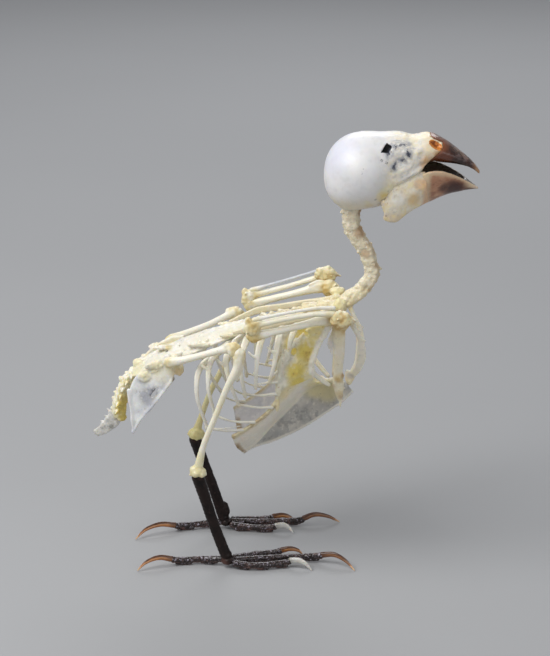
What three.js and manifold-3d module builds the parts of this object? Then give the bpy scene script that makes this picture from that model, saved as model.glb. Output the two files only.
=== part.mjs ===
// Dry skeleton of a munia (a small finch), standing on both feet.
// Millimetres. The bird faces +X, its left side is +Y, +Z is up, floor at z = 0.
import * as THREE from 'three';
import { mergeVertices } from 'three/addons/utils/BufferGeometryUtils.js';
import Module from 'manifold-3d';

const wasm = await Module();
wasm.setup();

// ---- driving dimensions (mm) -------------------------------------------
const SHIFT = new THREE.Vector3(-0.11, -0.49, 0); // centres the outline on the origin
const GAP = 0.25;            // clearance left between neighbouring bones
const PLATE = 0.62;          // thickness of blade-like bones
const RIB_R = 0.36;          // radius of a rib shaft
const SKULL_HALF_WIDTH = 6.7;
const FACE_HALF_WIDTH = 3.9;
const NECK_R = 1.28;
const NECK_BUMP = 0.24;      // how far each neck vertebra swells
const COLUMN_R = 0.95;
const CREST_H = 1.75;        // height of the row of back spines above the column centre
const TOE_R = 0.72;
const CLAW_R = 0.62;
const TARSUS_R = 0.8;
const KEEL_T = 0.56;

// ---- helpers -----------------------------------------------------------
const V = (a) => new THREE.Vector3(a[0], a[1], a[2]);
const flip = (pts, s) => pts.map((p) => [p[0], s * p[1], p[2]]);
const BIG = 200;

function solid(positions, index) {
  let g = new THREE.BufferGeometry();
  g.setAttribute('position', new THREE.Float32BufferAttribute(positions, 3));
  g.setIndex(index);
  return fromGeometry(g);
}

function fromGeometry(geo) {
  let g = geo.clone();
  g.deleteAttribute('normal');
  g.deleteAttribute('uv');
  g = mergeVertices(g, 1e-4);
  const pos = g.attributes.position.array;
  const idx = g.index.array;
  let vol = 0;
  const a = new THREE.Vector3(), b = new THREE.Vector3(), c = new THREE.Vector3();
  for (let i = 0; i < idx.length; i += 3) {
    a.fromArray(pos, idx[i] * 3); b.fromArray(pos, idx[i + 1] * 3); c.fromArray(pos, idx[i + 2] * 3);
    vol += a.dot(b.cross(c));
  }
  const tri = Uint32Array.from(idx);
  if (vol < 0) for (let i = 0; i < tri.length; i += 3) [tri[i + 1], tri[i + 2]] = [tri[i + 2], tri[i + 1]];
  return new wasm.Manifold(new wasm.Mesh({ numProp: 3, vertProperties: Float32Array.from(pos), triVerts: tri }));
}

const join = (...m) => m.flat().reduce((p, q) => p.add(q));
const pick = (list, u) => {
  const i = Math.min(Math.floor(u), list.length - 2);
  const f = u - i;
  const A = Array.isArray(list[i]) ? list[i] : [list[i], list[i]];
  const B = Array.isArray(list[i + 1]) ? list[i + 1] : [list[i + 1], list[i + 1]];
  return [A[0] + (B[0] - A[0]) * f, A[1] + (B[1] - A[1]) * f];
};

// Rings skinned into one closed skin; each ring is a list of Vector3.
function skin(rings, capA, capB) {
  const n = rings[0].length;
  const pos = [];
  for (const r of rings) for (const p of r) pos.push(p.x, p.y, p.z);
  const idx = [];
  for (let i = 0; i + 1 < rings.length; i++) for (let j = 0; j < n; j++) {
    const a = i * n + j, b = i * n + (j + 1) % n, c = a + n, d = b + n;
    idx.push(a, b, d, a, d, c);
  }
  const k = pos.length / 3;
  pos.push(capA.x, capA.y, capA.z, capB.x, capB.y, capB.z);
  const last = (rings.length - 1) * n;
  for (let j = 0; j < n; j++) {
    idx.push(k, (j + 1) % n, j);
    idx.push(k + 1, last + j, last + (j + 1) % n);
  }
  return solid(pos, idx);
}

// A rod with a changing oval section along a smooth path. radii: number or
// [across, along the reference direction]; the ends are slightly domed.
function rod(g, pts, radii, { sides = 7, steps = 6, ref = [0, 1, 0], dome = 0.45 } = {}) {
  const curve = new THREE.CatmullRomCurve3(pts.map(V), false, 'centripetal');
  const up = V(ref).normalize();
  const rings = [];
  let first, last;
  for (let i = 0; i <= steps; i++) {
    const t = i / steps;
    const p = curve.getPoint(t);
    const T = curve.getTangent(t).normalize();
    const N = up.clone().addScaledVector(T, -up.dot(T)).normalize();
    const B = new THREE.Vector3().crossVectors(T, N).normalize();
    let [ra, rb] = pick(radii, t * (radii.length - 1));
    ra += g; rb += g;
    const ring = [];
    for (let j = 0; j < sides; j++) {
      const a = (2 * Math.PI * (j + 0.5)) / sides;
      ring.push(p.clone().addScaledVector(B, Math.cos(a) * ra).addScaledVector(N, Math.sin(a) * rb));
    }
    rings.push(ring);
    const d = dome * Math.min(ra, rb) + g;
    if (i === 0) first = p.clone().addScaledVector(T, -d);
    if (i === steps) last = p.clone().addScaledVector(T, d);
  }
  return skin(rings, first, last);
}

// An egg-shaped lump.
function lump(g, c, r, { detail = 1, tilt = [0, 0, 0] } = {}) {
  const geo = new THREE.IcosahedronGeometry(1, detail);
  const m = new THREE.Matrix4().compose(V(c), new THREE.Quaternion().setFromEuler(new THREE.Euler(...tilt)),
    new THREE.Vector3(r[0] + g, r[1] + g, r[2] + g));
  geo.applyMatrix4(m);
  return fromGeometry(geo);
}

// Stations across X: [x, top, bottom, half width]; a rounded section.
function hullX(g, stations, { sides = 12, round = 0.85, nose = 0 } = {}) {
  const sp = (v) => Math.sign(v) * Math.pow(Math.abs(v), round);
  const rings = stations.map(([x, top, bot, hw], i) => {
    const mid = (top + bot) / 2, h = (top - bot) / 2 + g;
    const dx = i === 0 ? -g : i === stations.length - 1 ? g : 0;
    const ring = [];
    for (let j = 0; j < sides; j++) {
      const a = (2 * Math.PI * (j + 0.5)) / sides;
      ring.push(new THREE.Vector3(x + dx, (hw + g) * sp(Math.cos(a)), mid + h * sp(Math.sin(a))));
    }
    return ring;
  });
  const cap = (ring, dx) => {
    const c = new THREE.Vector3();
    ring.forEach((p) => c.add(p));
    c.multiplyScalar(1 / ring.length);
    c.x += dx;
    return c;
  };
  return skin(rings, cap(rings[0], -nose - g), cap(rings[rings.length - 1], nose + g));
}

// A curved plate: rows of points, given a thickness.
function blade(g, rows, t) {
  const m = rows.length, n = rows[0].length;
  const P = rows.map((r) => r.map(V));
  const at = (i, j) => P[Math.max(0, Math.min(m - 1, i))][Math.max(0, Math.min(n - 1, j))];
  const pos = [];
  for (const s of [1, -1]) for (let i = 0; i < m; i++) for (let j = 0; j < n; j++) {
    const du = at(i + 1, j).clone().sub(at(i - 1, j));
    const dv = at(i, j + 1).clone().sub(at(i, j - 1));
    const N = new THREE.Vector3().crossVectors(du, dv).normalize();
    const p = at(i, j).clone().addScaledVector(N, (s * (t + 2 * g)) / 2);
    if (g > 0) {
      if (i === 0 || i === m - 1) p.addScaledVector(du.normalize(), i === 0 ? -g : g);
      if (j === 0 || j === n - 1) p.addScaledVector(dv.normalize(), j === 0 ? -g : g);
    }
    pos.push(p.x, p.y, p.z);
  }
  const id = (k, i, j) => k * m * n + i * n + j;
  const idx = [];
  for (let i = 0; i + 1 < m; i++) for (let j = 0; j + 1 < n; j++) {
    idx.push(id(0, i, j), id(0, i + 1, j), id(0, i + 1, j + 1), id(0, i, j), id(0, i + 1, j + 1), id(0, i, j + 1));
    idx.push(id(1, i, j), id(1, i + 1, j + 1), id(1, i + 1, j), id(1, i, j), id(1, i, j + 1), id(1, i + 1, j + 1));
  }
  const edge = [];
  for (let j = 0; j < n; j++) edge.push([0, j]);
  for (let i = 1; i < m; i++) edge.push([i, n - 1]);
  for (let j = n - 2; j >= 0; j--) edge.push([m - 1, j]);
  for (let i = m - 2; i >= 1; i--) edge.push([i, 0]);
  for (let k = 0; k < edge.length; k++) {
    const [a, b] = edge[k], [c, d] = edge[(k + 1) % edge.length];
    idx.push(id(0, a, b), id(0, c, d), id(1, c, d), id(0, a, b), id(1, c, d), id(1, a, b));
  }
  return solid(pos, idx);
}

const box = (min, max) => {
  const geo = new THREE.BoxGeometry(max[0] - min[0], max[1] - min[1], max[2] - min[2]);
  geo.translate((max[0] + min[0]) / 2, (max[1] + min[1]) / 2, (max[2] + min[2]) / 2);
  return fromGeometry(geo);
};
const aboveFloor = box([-BIG, -BIG, 0], [BIG, BIG, BIG]);

const defs = new Map();
const def = (name, look, make, cutters = []) => defs.set(name, { look, make, cutters });

const BONE = { color: 0xe9e0cb, roughness: 0.55 };
const YELLOW_BONE = { color: 0xdcc48a, roughness: 0.6 };
const WAX = { color: 0xcdbb9e, roughness: 0.5 };
const PALE = { color: 0xd9d6cf, roughness: 0.5 };
const HORN_DARK = { color: 0x33261f, roughness: 0.35 };
const HORN_PINK = { color: 0xb3907c, roughness: 0.4 };
const SKIN_DARK = { color: 0x3a2b24, roughness: 0.45 };
const CLAW_TAN = { color: 0x9a7a58, roughness: 0.35 };
const CLAW_SILVER = { color: 0xc3bfb6, roughness: 0.3 };

// ---- head --------------------------------------------------------------
def('skull', BONE, (g) => {
  const W = SKULL_HALF_WIDTH, F = FACE_HALF_WIDTH;
  const cranium = hullX(g, [
    [6.5, 64.6, 61.2, 1.9], [7.1, 66.3, 59.8, 3.7], [8.6, 68.2, 58.5, W * 0.84], [10.8, 69.3, 57.9, W * 0.98],
    [13.0, 69.6, 58.1, W], [14.9, 69.6, 58.8, W * 0.86], [16.2, 69.6, 60.6, W * 0.62],
  ], { sides: 12, round: 0.95 });
  const brow = hullX(g, [
    [14.6, 69.65, 63.0, 4.6], [17.0, 69.6, 63.2, 3.3], [19.0, 69.4, 63.4, 3.4], [20.6, 69.3, 64.2, F],
    [22.2, 69.45, 64.9, F * 0.93], [23.7, 69.1, 65.1, F * 0.8],
  ], { sides: 10, round: 0.8 });
  const eyes = [1, -1].map((s) => lump(g, [17.35, s * 2.6, 65.9], [3.15, 2.0, 2.95]));
  const side = [1, -1].map((s) => join(
    lump(g, [15.5, s * 4.75, 61.0], [1.05, 0.9, 1.9], { detail: 0 }),
    rod(g, flip([[15.6, 4.9, 60.7], [18.0, 4.6, 62.6], [21.2, 3.5, 64.6]], s), [0.36, 0.3, 0.42], { sides: 5, steps: 3 }),
    rod(g, flip([[14.4, 1.3, 59.7], [17.6, 1.5, 61.8], [20.8, 1.6, 64.8]], s), [0.5, 0.42, 0.6], { sides: 5, steps: 3 }),
  ));
  return join(cranium, brow, eyes, side);
});

def('upper_bill', HORN_DARK, (g) => hullX(g, [
  [23.78, 69.08, 65.1, 3.12], [25.2, 68.35, 65.0, 2.65], [26.7, 67.25, 64.85, 2.1], [28.2, 66.0, 64.45, 1.45],
  [29.5, 64.75, 63.7, 0.8], [30.42, 63.55, 62.95, 0.24],
], { sides: 12, round: 0.82 }).subtract(lump(-g, [25.3, 0, 64.6], [2.9, 1.5, 0.8])));

def('mandible', WAX, (g) => {
  const ramus = (s) => blade(g, [
    flip([[15.6, 4.75, 57.1], [15.6, 4.75, 58.7]], s), flip([[16.4, 4.75, 56.9], [16.4, 4.8, 59.2]], s),
    flip([[18.2, 4.3, 57.2], [18.2, 4.4, 60.9]], s), flip([[20.1, 3.8, 58.3], [20.1, 4.0, 62.9]], s),
    flip([[21.95, 3.0, 59.1], [21.95, 3.55, 64.2]], s),
  ], 0.75);
  const floor = blade(g, [
    [[20.9, -3.3, 59.3], [20.9, 0, 59.35], [20.9, 3.3, 59.3]],
    [[21.95, -3.1, 59.6], [21.95, 0, 59.4], [21.95, 3.1, 59.6]],
  ], 0.7);
  return join(ramus(1), ramus(-1), floor);
}, ['skull']);

def('lower_bill', HORN_PINK, (g) => hullX(g, [
  [22.05, 64.3, 58.7, 3.6], [23.8, 64.3, 59.4, 3.15], [25.6, 63.8, 60.1, 2.6], [27.4, 62.9, 60.45, 1.85],
  [29.2, 61.8, 60.6, 0.95], [30.3, 61.0, 60.65, 0.25],
], { sides: 12, round: 0.8 }).subtract(lump(-g, [24.6, 0, 64.6], [3.4, 2.0, 1.2])), ['mandible', 'upper_bill']);

// ---- neck and back -----------------------------------------------------
const NECK = [[10.6, 0, 58.1], [10.75, 0, 54.75], [11.9, 0, 52.5], [13.0, 0, 50.9], [13.65, 0, 48.9],
  [14.05, 0, 47.2], [13.1, 0, 45.3], [11.7, 0, 43.75], [10.0, 0, 42.6]];
// A run of vertebrae: the section swells and narrows once per bone.
function spineRun(g, t0, t1, bones) {
  const curve = new THREE.CatmullRomCurve3(NECK.map(V), false, 'centripetal');
  const per = 3, steps = bones * per, pts = [], radii = [];
  for (let i = 0; i <= steps; i++) {
    pts.push(curve.getPoint(t0 + ((t1 - t0) * i) / steps).toArray());
    const swell = i % per === 0 ? -1 : 1;
    radii.push([NECK_R + NECK_BUMP * swell, NECK_R + (NECK_BUMP + 0.1) * swell]);
  }
  return rod(g, pts, radii, { sides: 6, steps, dome: 0.3 });
}
def('neck_upper', WAX, (g) => spineRun(g, 0.0, 0.487, 6), ['skull']);
def('neck_lower', WAX, (g) => spineRun(g, 0.5, 1, 6), ['neck_upper']);

const BACK = [[9.3, 0, 41.6], [7.15, 0, 40.9], [4.5, 0, 40.3], [0.7, 0, 39.4], [-5.3, 0, 38.0], [-7.5, 0, 37.3]];
function back(g) {
  const column = rod(g, BACK, [COLUMN_R, COLUMN_R * 1.05, COLUMN_R], { sides: 7, steps: 5, dome: 0.2 });
  const crest = blade(g, BACK.slice(0, 5).map(([x, y, z]) => [[x, y, z], [x - 0.2, y, z + CREST_H]]), PLATE);
  return join(column, crest);
}
// Each rib: shaft points from its root on the column to its lower end, then the
// breast rib that carries on to the edge of the breastbone. y is mirrored for the left.
const RIBS_RIGHT = [
  { up: [[2.7, -0.6, 39.7], [2.0, -4.6, 39.7], [1.2, -6.8, 38.2], [0.85, -7.0, 36.4]] },
  { up: [[0.6, -0.6, 39.2], [-0.3, -5.0, 39.2], [-0.9, -7.4, 37.2], [-1.3, -7.8, 34.8], [-2.0, -7.4, 31.9]],
    low: [[-1.9, -7.4, 32.4], [-1.1, -7.0, 33.0], [-0.4, -6.7, 33.4]] },
  { up: [[-1.9, -0.6, 38.6], [-3.0, -5.0, 38.7], [-3.8, -7.6, 36.6], [-4.1, -8.1, 33.8], [-4.2, -7.9, 30.8]],
    low: [[-4.2, -7.9, 31.2], [-2.6, -7.5, 31.5], [-0.9, -6.8, 31.4]] },
  { up: [[-4.0, -0.6, 38.1], [-5.5, -4.8, 37.9], [-6.4, -7.2, 35.9], [-6.5, -7.8, 33.4], [-5.8, -7.7, 29.3]],
    low: [[-6.0, -7.7, 29.7], [-3.7, -7.2, 29.3], [-1.0, -6.5, 29.3]] },
  { up: [[-5.6, -0.6, 37.7], [-7.5, -4.6, 37.1], [-8.8, -7.0, 35.2], [-8.4, -8.0, 32.4], [-6.9, -7.6, 27.9]],
    low: [[-7.0, -7.6, 28.0], [-4.2, -7.1, 27.3], [-1.6, -6.4, 27.0]] },
  { up: [[-6.7, -0.6, 37.3], [-9.4, -4.4, 36.0], [-11.2, -6.4, 34.6], [-11.6, -7.8, 31.0], [-10.6, -7.5, 26.2]],
    low: [[-10.8, -7.5, 26.2], [-8.0, -7.1, 25.0], [-4.4, -6.6, 24.6]] },
  { up: [[-7.3, -0.6, 37.1], [-10.6, -3.9, 35.0], [-13.0, -6.2, 33.2], [-13.4, -7.6, 29.6], [-11.8, -7.1, 23.8]],
    low: [[-12.0, -7.2, 24.0], [-9.4, -6.8, 23.3], [-6.2, -6.5, 23.3]] },
];
const RIBS_LEFT = [
  { up: [[2.7, -0.6, 39.7], [2.0, -4.6, 39.7], [1.3, -6.8, 38.2], [0.9, -7.0, 36.2]] },
  { up: [[0.6, -0.6, 39.2], [-0.3, -5.0, 39.2], [-1.0, -7.4, 37.0], [-1.6, -7.8, 33.4], [-2.6, -7.4, 29.4]],
    low: [[-2.4, -7.4, 30.0], [-1.6, -7.05, 30.3], [-0.95, -6.75, 30.4]] },
  { up: [[-1.9, -0.6, 38.6], [-3.0, -5.0, 38.6], [-3.8, -7.6, 36.4], [-4.3, -8.0, 33.0], [-4.2, -7.7, 29.0]],
    low: [[-4.2, -7.8, 29.4], [-2.8, -7.3, 29.4], [-1.0, -6.5, 29.3]] },
  { up: [[-4.0, -0.6, 38.1], [-5.5, -4.6, 37.6], [-6.5, -7.2, 35.3], [-6.4, -7.8, 31.6], [-5.8, -7.6, 27.4]],
    low: [[-6.0, -7.6, 27.8], [-4.0, -7.1, 27.5], [-1.4, -6.4, 27.4]] },
  { up: [[-5.6, -0.6, 37.7], [-7.4, -4.4, 36.7], [-8.5, -7.0, 34.8], [-8.3, -7.9, 31.2], [-7.3, -7.6, 26.6]],
    low: [[-7.5, -7.6, 27.0], [-5.0, -7.1, 26.0], [-2.4, -6.4, 25.8]] },
  { up: [[-6.7, -0.6, 37.3], [-9.2, -4.2, 35.7], [-10.8, -6.6, 33.8], [-10.6, -7.7, 30.4], [-8.6, -7.3, 25.4]],
    low: [[-8.8, -7.4, 25.6], [-6.6, -6.9, 24.6], [-4.2, -6.4, 24.4]] },
  { up: [[-7.3, -0.6, 37.1], [-10.4, -3.9, 34.8], [-12.7, -6.4, 32.6], [-12.4, -7.5, 28.9], [-9.4, -6.9, 24.0]],
    low: [[-9.9, -7.0, 24.3], [-8.2, -6.7, 23.5], [-5.9, -6.4, 23.3]] },
];
function ribSide(g, ribs, s) {
  const half = s < 0 ? box([-BIG, -BIG, -BIG], [BIG, -GAP / 2 + g, BIG]) : box([-BIG, GAP / 2 - g, -BIG], [BIG, BIG, BIG]);
  const m = s < 0 ? 1 : -1;
  const shafts = ribs.map(({ up, low }, k) => {
    const shaft = rod(g, flip(up, m), [[0.42, 0.42], [0.42, 0.34], [RIB_R + 0.12, RIB_R - 0.04], RIB_R, RIB_R],
      { sides: 5, steps: k === 0 ? 3 : 4 });
    return low ? join(shaft, rod(g, flip(low, m), [RIB_R, RIB_R, RIB_R + 0.08], { sides: 5, steps: 2 })) : shaft;
  });
  return back(g).intersect(half).add(join(shafts).intersect(half));
}
def('rib_cage_right', PALE, (g) => ribSide(g, RIBS_RIGHT, -1), ['sternum', 'neck_lower']);
def('rib_cage_left', PALE, (g) => ribSide(g, RIBS_LEFT, 1), ['sternum', 'neck_lower']);

// ---- breastbone --------------------------------------------------------
// Rows from the back edge to the front: keel line, quarter, half, edge.
const STERNUM_ROWS = [
  [[-6.2, 0, 17.5], [-6.9, 2.6, 18.7], [-7.4, 4.8, 20.4], [-7.8, 6.5, 22.3]],
  [[-4.2, 0, 19.0], [-4.6, 2.6, 20.2], [-4.9, 4.8, 22.0], [-5.1, 6.5, 24.0]],
  [[-1.5, 0, 22.3], [-1.8, 2.6, 23.2], [-2.1, 4.8, 24.6], [-2.3, 6.3, 26.3]],
  [[1.1, 0, 25.0], [0.4, 2.6, 25.8], [-0.3, 4.8, 27.0], [-0.8, 6.2, 28.6]],
  [[3.2, 0, 27.4], [2.2, 2.8, 28.2], [0.7, 5.2, 29.8], [-0.8, 6.5, 31.6]],
  [[5.4, 0, 28.9], [4.4, 3.0, 29.9], [2.6, 5.6, 32.6], [0.5, 6.8, 35.8]],
  [[7.5, 0, 29.4], [7.0, 2.6, 29.9], [5.2, 5.0, 33.5], [5.6, 6.0, 38.6]],
];
const KEEL_ROWS = [
  [[-6.3, 0, 17.5], [-6.2, 0, 17.0]], [[-4.3, 0, 19.0], [-4.3, 0, 18.1]], [[-1.5, 0, 22.3], [-1.6, 0, 19.0]],
  [[1.1, 0, 24.9], [2.1, 0, 20.7]], [[3.4, 0, 27.4], [4.9, 0, 22.4]], [[6.0, 0, 29.0], [7.6, 0, 24.3]],
  [[8.6, 0, 29.4], [9.5, 0, 25.7]], [[10.0, 0, 28.5], [11.0, 0, 27.4]],
];
def('sternum', PALE, (g) => {
  const rows = STERNUM_ROWS.map((r) => [...r.slice(1).reverse().map(([x, y, z]) => [x, -y, z]), ...r]);
  const horn = (s) => rod(g, flip([[5.0, 5.2, 33.6], [5.4, 5.65, 36.8], [6.3, 5.7, 38.7], [6.9, 5.8, 40.2]], s), [0.46, 0.46, 0.46, 0.5], { sides: 5, steps: 4 });
  return join(blade(g, rows, PLATE), blade(g, KEEL_ROWS, KEEL_T), horn(1), horn(-1));
});

// ---- shoulder ----------------------------------------------------------
const coracoid = (g, s) => join(
  rod(g, flip([[8.6, 5.3, 39.7], [8.8, 4.5, 36.0], [8.75, 3.4, 32.2], [8.8, 2.5, 28.9], [8.95, 1.75, 26.8]], s),
    [[0.95, 0.85], [0.62, 0.62], [0.6, 0.62], [0.72, 0.6], [0.95, 0.55]], { steps: 6, sides: 6 }),
  lump(g, flip([[9.2, 5.2, 40.5]], s)[0], [1.05, 0.8, 0.9], { detail: 0 }));
def('coracoid_right', BONE, (g) => coracoid(g, -1), ['sternum']);
def('coracoid_left', BONE, (g) => coracoid(g, 1), ['sternum']);

def('furcula', BONE, (g) => {
  const arm = [[10.75, 4.3, 40.2], [11.4, 3.8, 38.9], [12.25, 3.0, 36.4], [12.4, 1.9, 33.8], [11.8, 0.9, 31.2]];
  const pts = [...arm, [11.2, 0, 30.0], ...flip(arm, -1).reverse()];
  return join(
    rod(g, pts, [0.5, 0.45, 0.6, [0.72, 0.4], 0.5, 0.55, 0.5, [0.72, 0.4], 0.6, 0.45, 0.5], { sides: 6, steps: 12, ref: [1, 0, 0.3] }),
    blade(g, [[[10.75, 0, 30.4], [11.65, 0, 30.0]], [[10.4, 0, 28.95], [10.9, 0, 28.75]]], 0.5));
}, ['coracoid_right', 'coracoid_left', 'sternum']);

const SCAPULA = {
  right: [[7.9, -4.6, 41.2], [4.2, -5.2, 41.5], [0.2, -5.5, 40.9], [-4.0, -5.5, 39.9], [-7.6, -5.1, 38.9]],
  left: [[7.9, 4.6, 41.4], [4.0, 5.0, 40.75], [0.4, 5.2, 40.05], [-4.0, 5.3, 39.25], [-8.4, 5.1, 37.4]],
};
for (const side of ['right', 'left']) {
  def(`scapula_${side}`, BONE, (g) => rod(g, SCAPULA[side], [[0.5, 0.7], [0.32, 0.6], [0.3, 0.62], [0.28, 0.7], [0.26, 0.4]],
    { steps: 6, sides: 6 }), [`coracoid_${side}`, `rib_cage_${side}`, 'pelvis']);
}

// ---- wings -------------------------------------------------------------
const WING = {
  right: {
    humerus: [[8.5, -6.7, 41.5], [7.0, -7.0, 41.7], [4.6, -7.6, 41.4], [1.6, -8.2, 40.8], [-1.5, -8.7, 40.2], [-4.6, -9.0, 39.5]],
    ulna: [[-4.7, -9.3, 41.3], [-2.4, -9.2, 41.85], [2.4, -8.8, 42.75], [5.4, -8.6, 43.1], [7.8, -8.3, 43.0]],
    radius: [[-4.4, -9.3, 42.35], [-2.4, -9.2, 42.8], [2.4, -8.8, 43.65], [5.4, -8.6, 44.05], [7.8, -8.3, 43.95]],
    wrist: [[8.9, -8.2, 42.35], [1.35, 0.8, 1.4]], hook: [[9.6, -8.2, 42.2], [10.6, -8.2, 42.3], [11.4, -8.2, 41.7]],
  },
  left: {
    humerus: [[7.5, 6.7, 42.7], [5.8, 6.9, 42.7], [3.7, 7.2, 42.0], [1.2, 7.7, 41.2], [-2.0, 8.3, 40.2], [-5.2, 8.6, 39.2]],
    ulna: [[-5.5, 8.8, 40.5], [-2.0, 8.8, 41.5], [1.2, 8.7, 42.4], [4.2, 8.5, 43.4], [6.4, 8.3, 44.1]],
    radius: [[-5.0, 8.8, 41.75], [-2.0, 8.8, 42.6], [1.2, 8.7, 43.55], [4.2, 8.5, 44.5], [6.4, 8.3, 45.2]],
    wrist: [[7.6, 8.1, 44.35], [1.15, 0.8, 1.75]], hook: [[7.9, 8.1, 44.7], [8.9, 8.15, 44.4], [9.5, 8.2, 44.15]],
  },
};
for (const side of ['right', 'left']) {
  const w = WING[side];
  def(`humerus_${side}`, YELLOW_BONE, (g) => rod(g, w.humerus, [[1.0, 0.8], [1.15, 0.7], [0.62, 0.58], 0.56, [0.6, 0.56], [1.0, 0.72]],
    { steps: 7 }), [`coracoid_${side}`, `scapula_${side}`]);
  def(`ulna_${side}`, YELLOW_BONE, (g) => rod(g, w.ulna, [[0.62, 0.6], 0.45, 0.42, 0.44, [0.5, 0.5]], { steps: 6, sides: 7 }), [`humerus_${side}`]);
  def(`radius_${side}`, BONE, (g) => rod(g, w.radius, [0.4, 0.3, 0.29, 0.3, 0.38], { steps: 5, sides: 6 }), [`humerus_${side}`]);
  def(`wrist_${side}`, YELLOW_BONE, (g) => join(lump(g, ...w.wrist), rod(g, w.hook, [0.45, 0.4, 0.22], { sides: 6, steps: 3 })),
    [`ulna_${side}`, `radius_${side}`, `humerus_${side}`]);
}

// ---- hip and tail ------------------------------------------------------
def('pelvis', WAX, (g) => {
  const roof = [[-5.4, 2.3, 39.2, 0.7], [-8.5, 3.0, 38.4, 1.0], [-12, 2.8, 37.3, 1.5],
    [-17, 4.4, 35.35, 1.6], [-20.4, 4.6, 33.6, 1.3], [-23.8, 2.6, 31.5, 0.6]];
  const rows = roof.map(([x, w, top, drop]) => [-1, -0.5, 0, 0.5, 1].map((f) => [x, f * w, top - drop * f * f]));
  const core = rod(g, [[-7.75, 0, 37.5], [-12, 0, 36.6], [-17, 0, 34.5], [-21, 0, 32.2], [-23.4, 0, 30.6]],
    [[1.1, 1.0], [1.2, 1.3], [1.3, 1.6], [1.1, 1.3], [0.8, 0.9]], { steps: 5 });
  const wall = (s) => blade(g, [
    flip([[-16.2, 4.3, 34.9], [-17.2, 4.9, 31.6]], s), flip([[-18.9, 4.5, 34.3], [-18.6, 5.1, 29.2]], s),
    flip([[-21.6, 4.2, 32.6], [-21.0, 4.8, 26.2]], s),
    flip([[-23.9, 3.9, 29.6], [-22.7, 4.5, 24.0]], s), flip([[-24.1, 4.2, 26.2], [-23.7, 4.2, 22.3]], s)], PLATE);
  const socket = (s) => lump(g, [-17.5, s * 4.6, 34.2], [1.3, 0.75, 1.3], { detail: 0 });
  return join(blade(g, rows, PLATE), core, wall(1), wall(-1), socket(1), socket(-1));
}, ['rib_cage_right', 'rib_cage_left']);

def('tail_vertebrae', YELLOW_BONE, (g) => {
  const path = [[-23.8, 0, 29.9], [-24.9, 0, 28.5], [-25.6, 0, 26.9], [-26.1, 0, 25.1], [-26.1, 0, 23.6]];
  const bumps = rod(g, path, [[0.75, 0.95], [1.0, 1.5], [0.7, 0.8], [1.0, 1.5], [0.8, 0.8], [1.15, 1.2], [0.8, 0.8]], { steps: 11, sides: 6, dome: 0.1 });
  return bumps;
}, ['pelvis', 'tail_fan']);
def('tail_fan', WAX, (g) => blade(g, [
  [[-27.5, 0, 23.9], [-27.0, 0, 23.2], [-26.5, 0, 22.5]], [[-27.9, 0, 23.0], [-27.3, 0, 22.3], [-26.8, 0, 21.8]],
  [[-28.7, 0, 22.0], [-28.2, 0, 21.4], [-27.7, 0, 21.0]], [[-30.2, 0, 20.6], [-29.9, 0, 20.3], [-29.5, 0, 20.1]],
], 0.85));

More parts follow.
